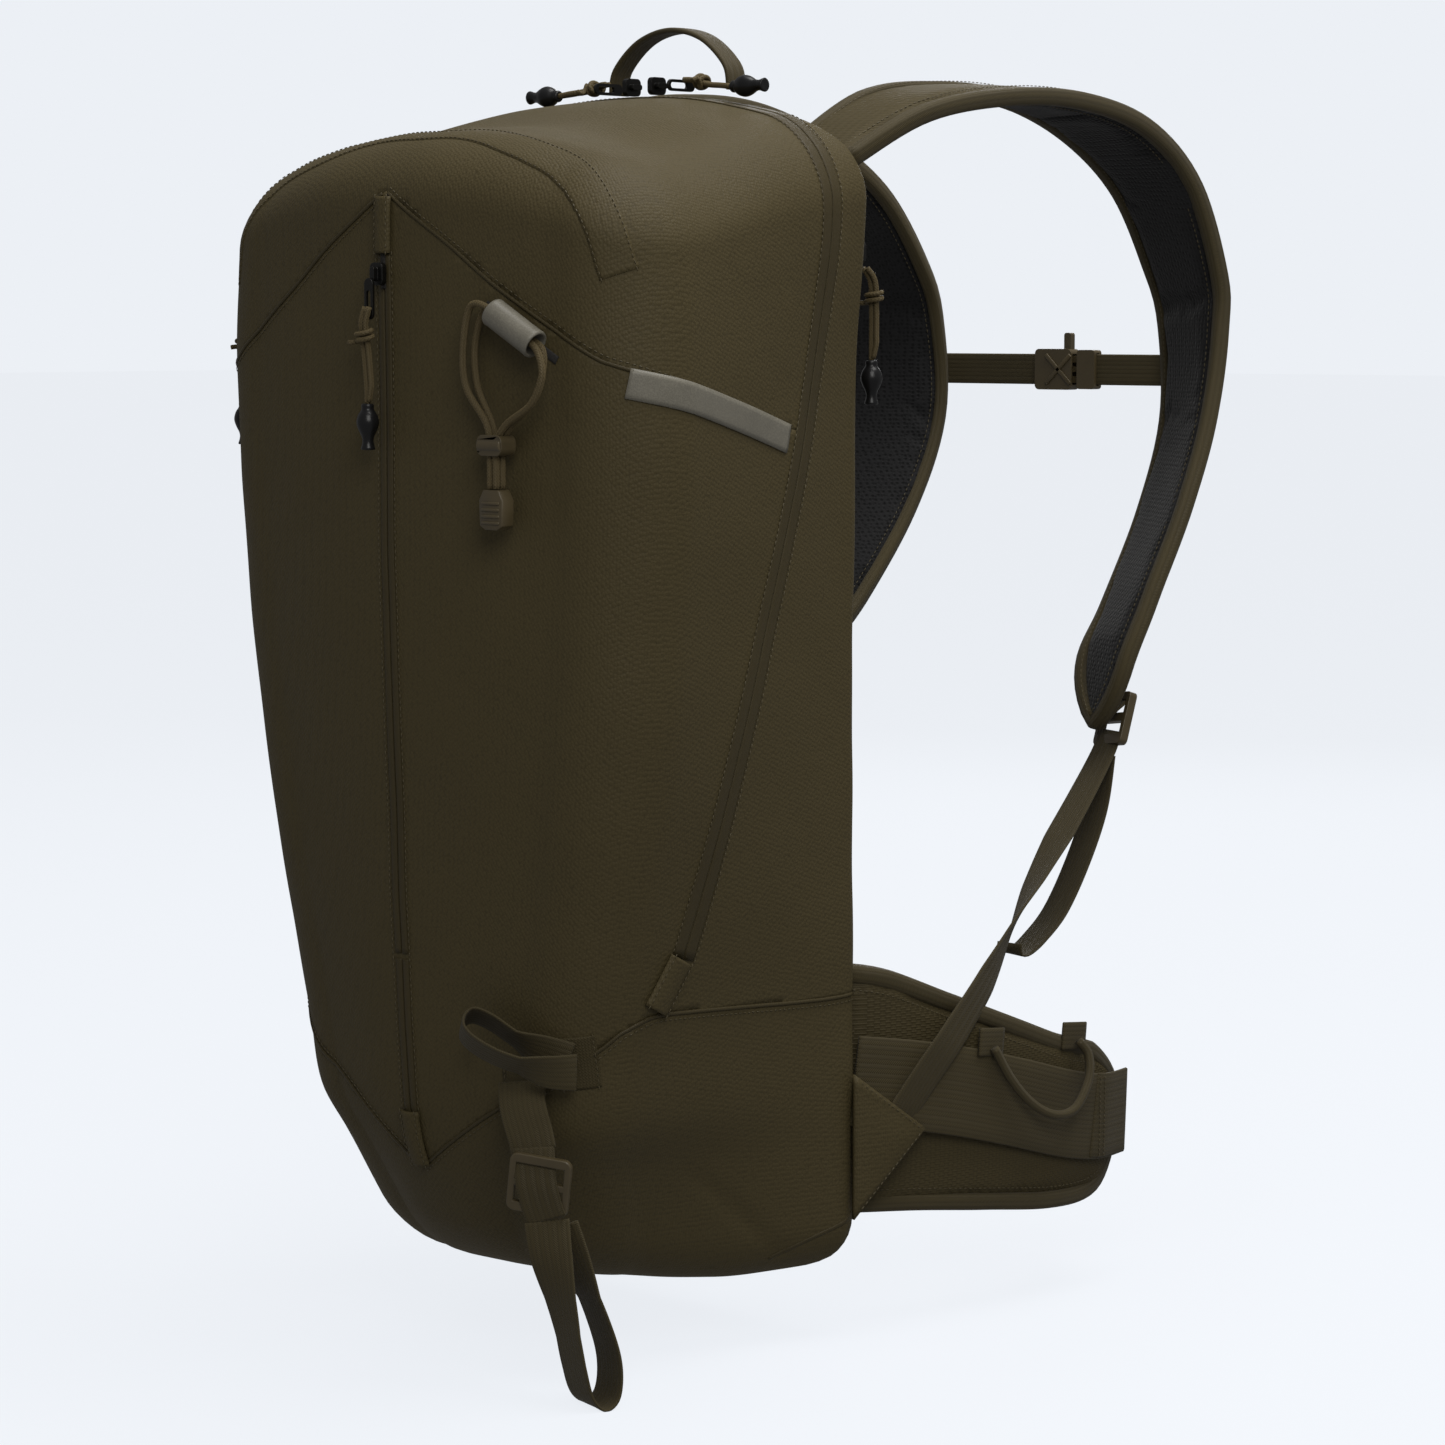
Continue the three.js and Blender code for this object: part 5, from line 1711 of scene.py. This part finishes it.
for word, pullBody in (("front", "front"), ("main_right", "main_right"), ("main_left", "main_left")):
    refineNode(word + "_slider", pullBody + "_runner", "slider_metal", blackMetal, 0.0004)
    refineNode(word + "_tab", pullBody + "_pull", "slider_metal", blackMetal, 0.0003)
for word in ("side", "rear"):
    refineNode(word + "_slider", word + "_runner", "slider_metal", blackMetal, 0.0004)
refineNode("cord_clip", "axe_clip", "buckle_plastic", oliveMoulding, 0.0007)
refineNode("ski_buckle", "root", "buckle_plastic", oliveMoulding, 0.0007)
refineNode("ladder_lock_right", "strap_right", "buckle_plastic", oliveMoulding, 0.0007)
refineNode("ladder_lock_left", "strap_left", "buckle_plastic", oliveMoulding, 0.0007)
refineNode("sternum_buckle_female", "strap_left", "buckle_plastic", oliveMoulding, 0.0006)
refineNode("sternum_buckle_male", "sternum_male", "buckle_plastic", oliveMoulding, 0.0005)
refineNode("trigger_handle", "trigger", "bead", beadMoulding, 0.0010, 3)
refineNode("fan_housing", "root", "housing", housingPlastic, 0.0006)
refineNode("fan_impeller", "impeller", "housing", housingPlastic, 0.0004)
refineNode("power_pack", "root", "housing", housingPlastic, 0.0012, 3)


def buckleRibs():
    # Crossed ribs moulded on both faces of the sternum buckle.
    verts, faces = [], []
    for face in (-1, 1):
        y = sternumDepth + face * 4.2
        for sign in (-1, 1):
            start = len(verts)
            a = Vector((-5, 0, sign * -8.5))
            b = Vector((13, 0, sign * 8.5))
            wide = Vector((0.9 * sign, 0, -0.9))
            for end in (a, b):
                for off in (-1, 1):
                    for rise in (-0.3, 0.9):
                        spot = end + wide * off
                        verts.append(place(buckleMiddle + spot.x, y + face * rise, 453 + spot.z))
            faces += [tuple(start + k for k in c) for c in boxFaces]
    ribs = addMesh("sternum buckle ribs", verts, faces, [oliveMoulding])
    fixNormals(ribs)
    addBevel(ribs, 0.0003)
    settle(ribs, "strap_left", "buckle_plastic")


buckleRibs()


def axeSleeveTube():
    centre, along = place(91, -112.5, 478), Vector((25, 2.5, -15)).normalized()
    profile = [(5.6, -15), (6.2, -15.4), (6.9, -15), (7.15, -14), (7.0, -12.8), (7.0, 0),
               (7.0, 12.8), (7.15, 14), (6.9, 15), (6.2, 15.4), (5.6, 15), (5.6, 0)]
    turn = Vector((0, 0, 1)).rotation_difference(along).to_matrix()
    sides = 40
    circle = [(math.cos(2 * math.pi * k / sides), math.sin(2 * math.pi * k / sides)) for k in range(sides)]
    verts = [centre + turn @ Vector((r * c, r * s, h)) / 1000 for r, h in profile for c, s in circle]
    count = len(profile)
    faces = [((i * sides + k), (i * sides + (k + 1) % sides), ((i + 1) % count) * sides + (k + 1) % sides,
              ((i + 1) % count) * sides + k) for i in range(count) for k in range(sides)]
    sleeve = addMesh("axe sleeve film", verts, faces, [reflective])
    fixNormals(sleeve)
    settle(sleeve, "front", "reflective", "axe_sleeve")
    # The pocket slot behind the sleeve: a strip in the lining's colour; its darkness is painted shade in the
    # slot.
    slot = [onBag(x, -115, z) for x, z in ((72, 495), (80, 490), (96, 480), (112, 469))]
    mouth = skinRibbon("axe sleeve slot painted shade", slot, 4.2, lining, 0.7, 0.5, 4, samples=24, shift=-7.0)
    settle(mouth, "front", "fabric")


axeSleeveTube()


def makeGearLoop():
    rows = [(150.6, 179, 101), (154.6, 188, 84), (159, 200, 70), (163.5, 214, 62), (165, 230, 63),
            (164, 243, 76), (161, 247, 89), (157.4, 243, 97)]
    loop, _ = cordTube("gear loop piping", placeAll(rows), 0.005, 70)
    loop.data.materials[0] = binding
    settle(loop, "hip_right", "webbing", "gear_loop")
    for name, y, z in (("front", 180, 104), ("back", 244, 99)):
        x = 146.8 + (y - 180) * 0.09
        patchRows = [(x, y - 9, z + 1), (x + 0.8, y, z), (x + 1.4, y + 9, z - 1)]
        tab = flatWeb("gear loop tab " + name, patchRows, [(0, 0.1, 1)] * 3, 15, 1.6, 12)
        settle(tab, "hip_right", "webbing")


makeGearLoop()


def wingPatch(side, word):
    # Triangular patch with a turned hem, sewn where the strap webbing leaves the bag.
    a, b, c = [Vector(p) for p in ((127.5, 92, 97), (127.5, 92, 21), (139.5, 134.5, 64))]
    verts, uvs = [], []
    steps = 14
    for j in range(steps + 1):
        for i in range(steps + 1):
            t, s = i / steps, j / steps
            edge = a.lerp(b, s)
            spot = edge.lerp(c, t)
            rise = 1.4 * math.sin(math.pi * s) * math.sin(math.pi * min(t, 1.0))
            verts.append(place(side * (spot.x + rise), spot.y, spot.z))
            uvs.append((spot.y / 1000, spot.z / 1000))
    patch = addMesh("wing patch fabric " + word, verts, gridFaces(steps, steps), [fabric], uvs)
    fixNormals(patch)
    wall = patch.modifiers.new("wall", "SOLIDIFY")
    wall.thickness = 0.0024
    wall.offset = 0
    settle(patch, "root", "fabric", "wing_patch_" + word)
    out = Vector((side, -0.25, 0)).normalized()
    rows = []
    for start, stop in ((a, c), (b, c)):
        inner = (a + b + c) / 3
        points = [start.lerp(stop, t / 16).lerp(inner, 0.09) for t in range(1, 16)]
        rows.append([(place(side * (p.x + 2.3), p.y, p.z), out) for p in points])
    stitchRows("wing patch stitching " + word, rows, "root")


wingPatch(1, "right")
wingPatch(-1, "left")


airbag = {
    "pleats": 9,
    "pleatStep": 7.2,
    "lowest": 474,
    "depths": (-90, -35),       # front and back edges of the folded cloth
    "halfWidth": 92,
    "columns": 40,
    "clothThickness": 0.0022,
}


def foldedAirbag():
    # The bag's cloth, laid in flat pleats under the head panel.
    verts = []
    line = []
    front, back = airbag["depths"]
    for i in range(airbag["pleats"]):
        z = airbag["lowest"] + i * airbag["pleatStep"]
        ends = (front, back) if i % 2 == 0 else (back, front)
        for k in range(7):
            y = ends[0] + (ends[1] - ends[0]) * k / 6
            line.append((y, z + 1.2 * math.sin(k * 1.3 + i)))
        bend = 3.4 if i % 2 == 0 else -3.4
        line.append((ends[1] + bend, z + 3.6))
    columns, half = airbag["columns"], airbag["halfWidth"]
    for y, z in line:
        for c in range(columns + 1):
            x = -half + 2 * half * c / columns
            wave = 1.1 * noise.noise(Vector((x / 30, y / 26, z / 14)))
            verts.append(place(x, y + wave * 0.7, z + wave))
    cloth = addMesh("folded airbag cloth", verts, gridFaces(columns, len(line) - 1), [airbagCloth])
    wall = cloth.modifiers.new("wall", "SOLIDIFY")
    wall.thickness = airbag["clothThickness"]
    wall.offset = 0
    settle(cloth, "root", "airbag_cloth", "folded_airbag")


foldedAirbag()


def airbagShelf():
    # Cloth shelf and rear wall, sewn into the rear shell, that carry the folded airbag.
    rows = [(-93, 470.2), (-40, 468.6), (20, 468.2), (70, 468.6), (90, 470), (96, 476), (98, 500), (99, 545)]
    columns = 12
    verts = [place(-95 + 190 * c / columns, y, z) for y, z in rows for c in range(columns + 1)]
    uvs = [(v.x, v.y + v.z) for v in verts]
    shelf = addMesh("airbag shelf", verts, gridFaces(columns, len(rows) - 1), [lining], uvs)
    wall = shelf.modifiers.new("wall", "SOLIDIFY")
    wall.thickness = 0.001
    wall.offset = -1
    settle(shelf, "root", "lining")


airbagShelf()
print("hardware made")
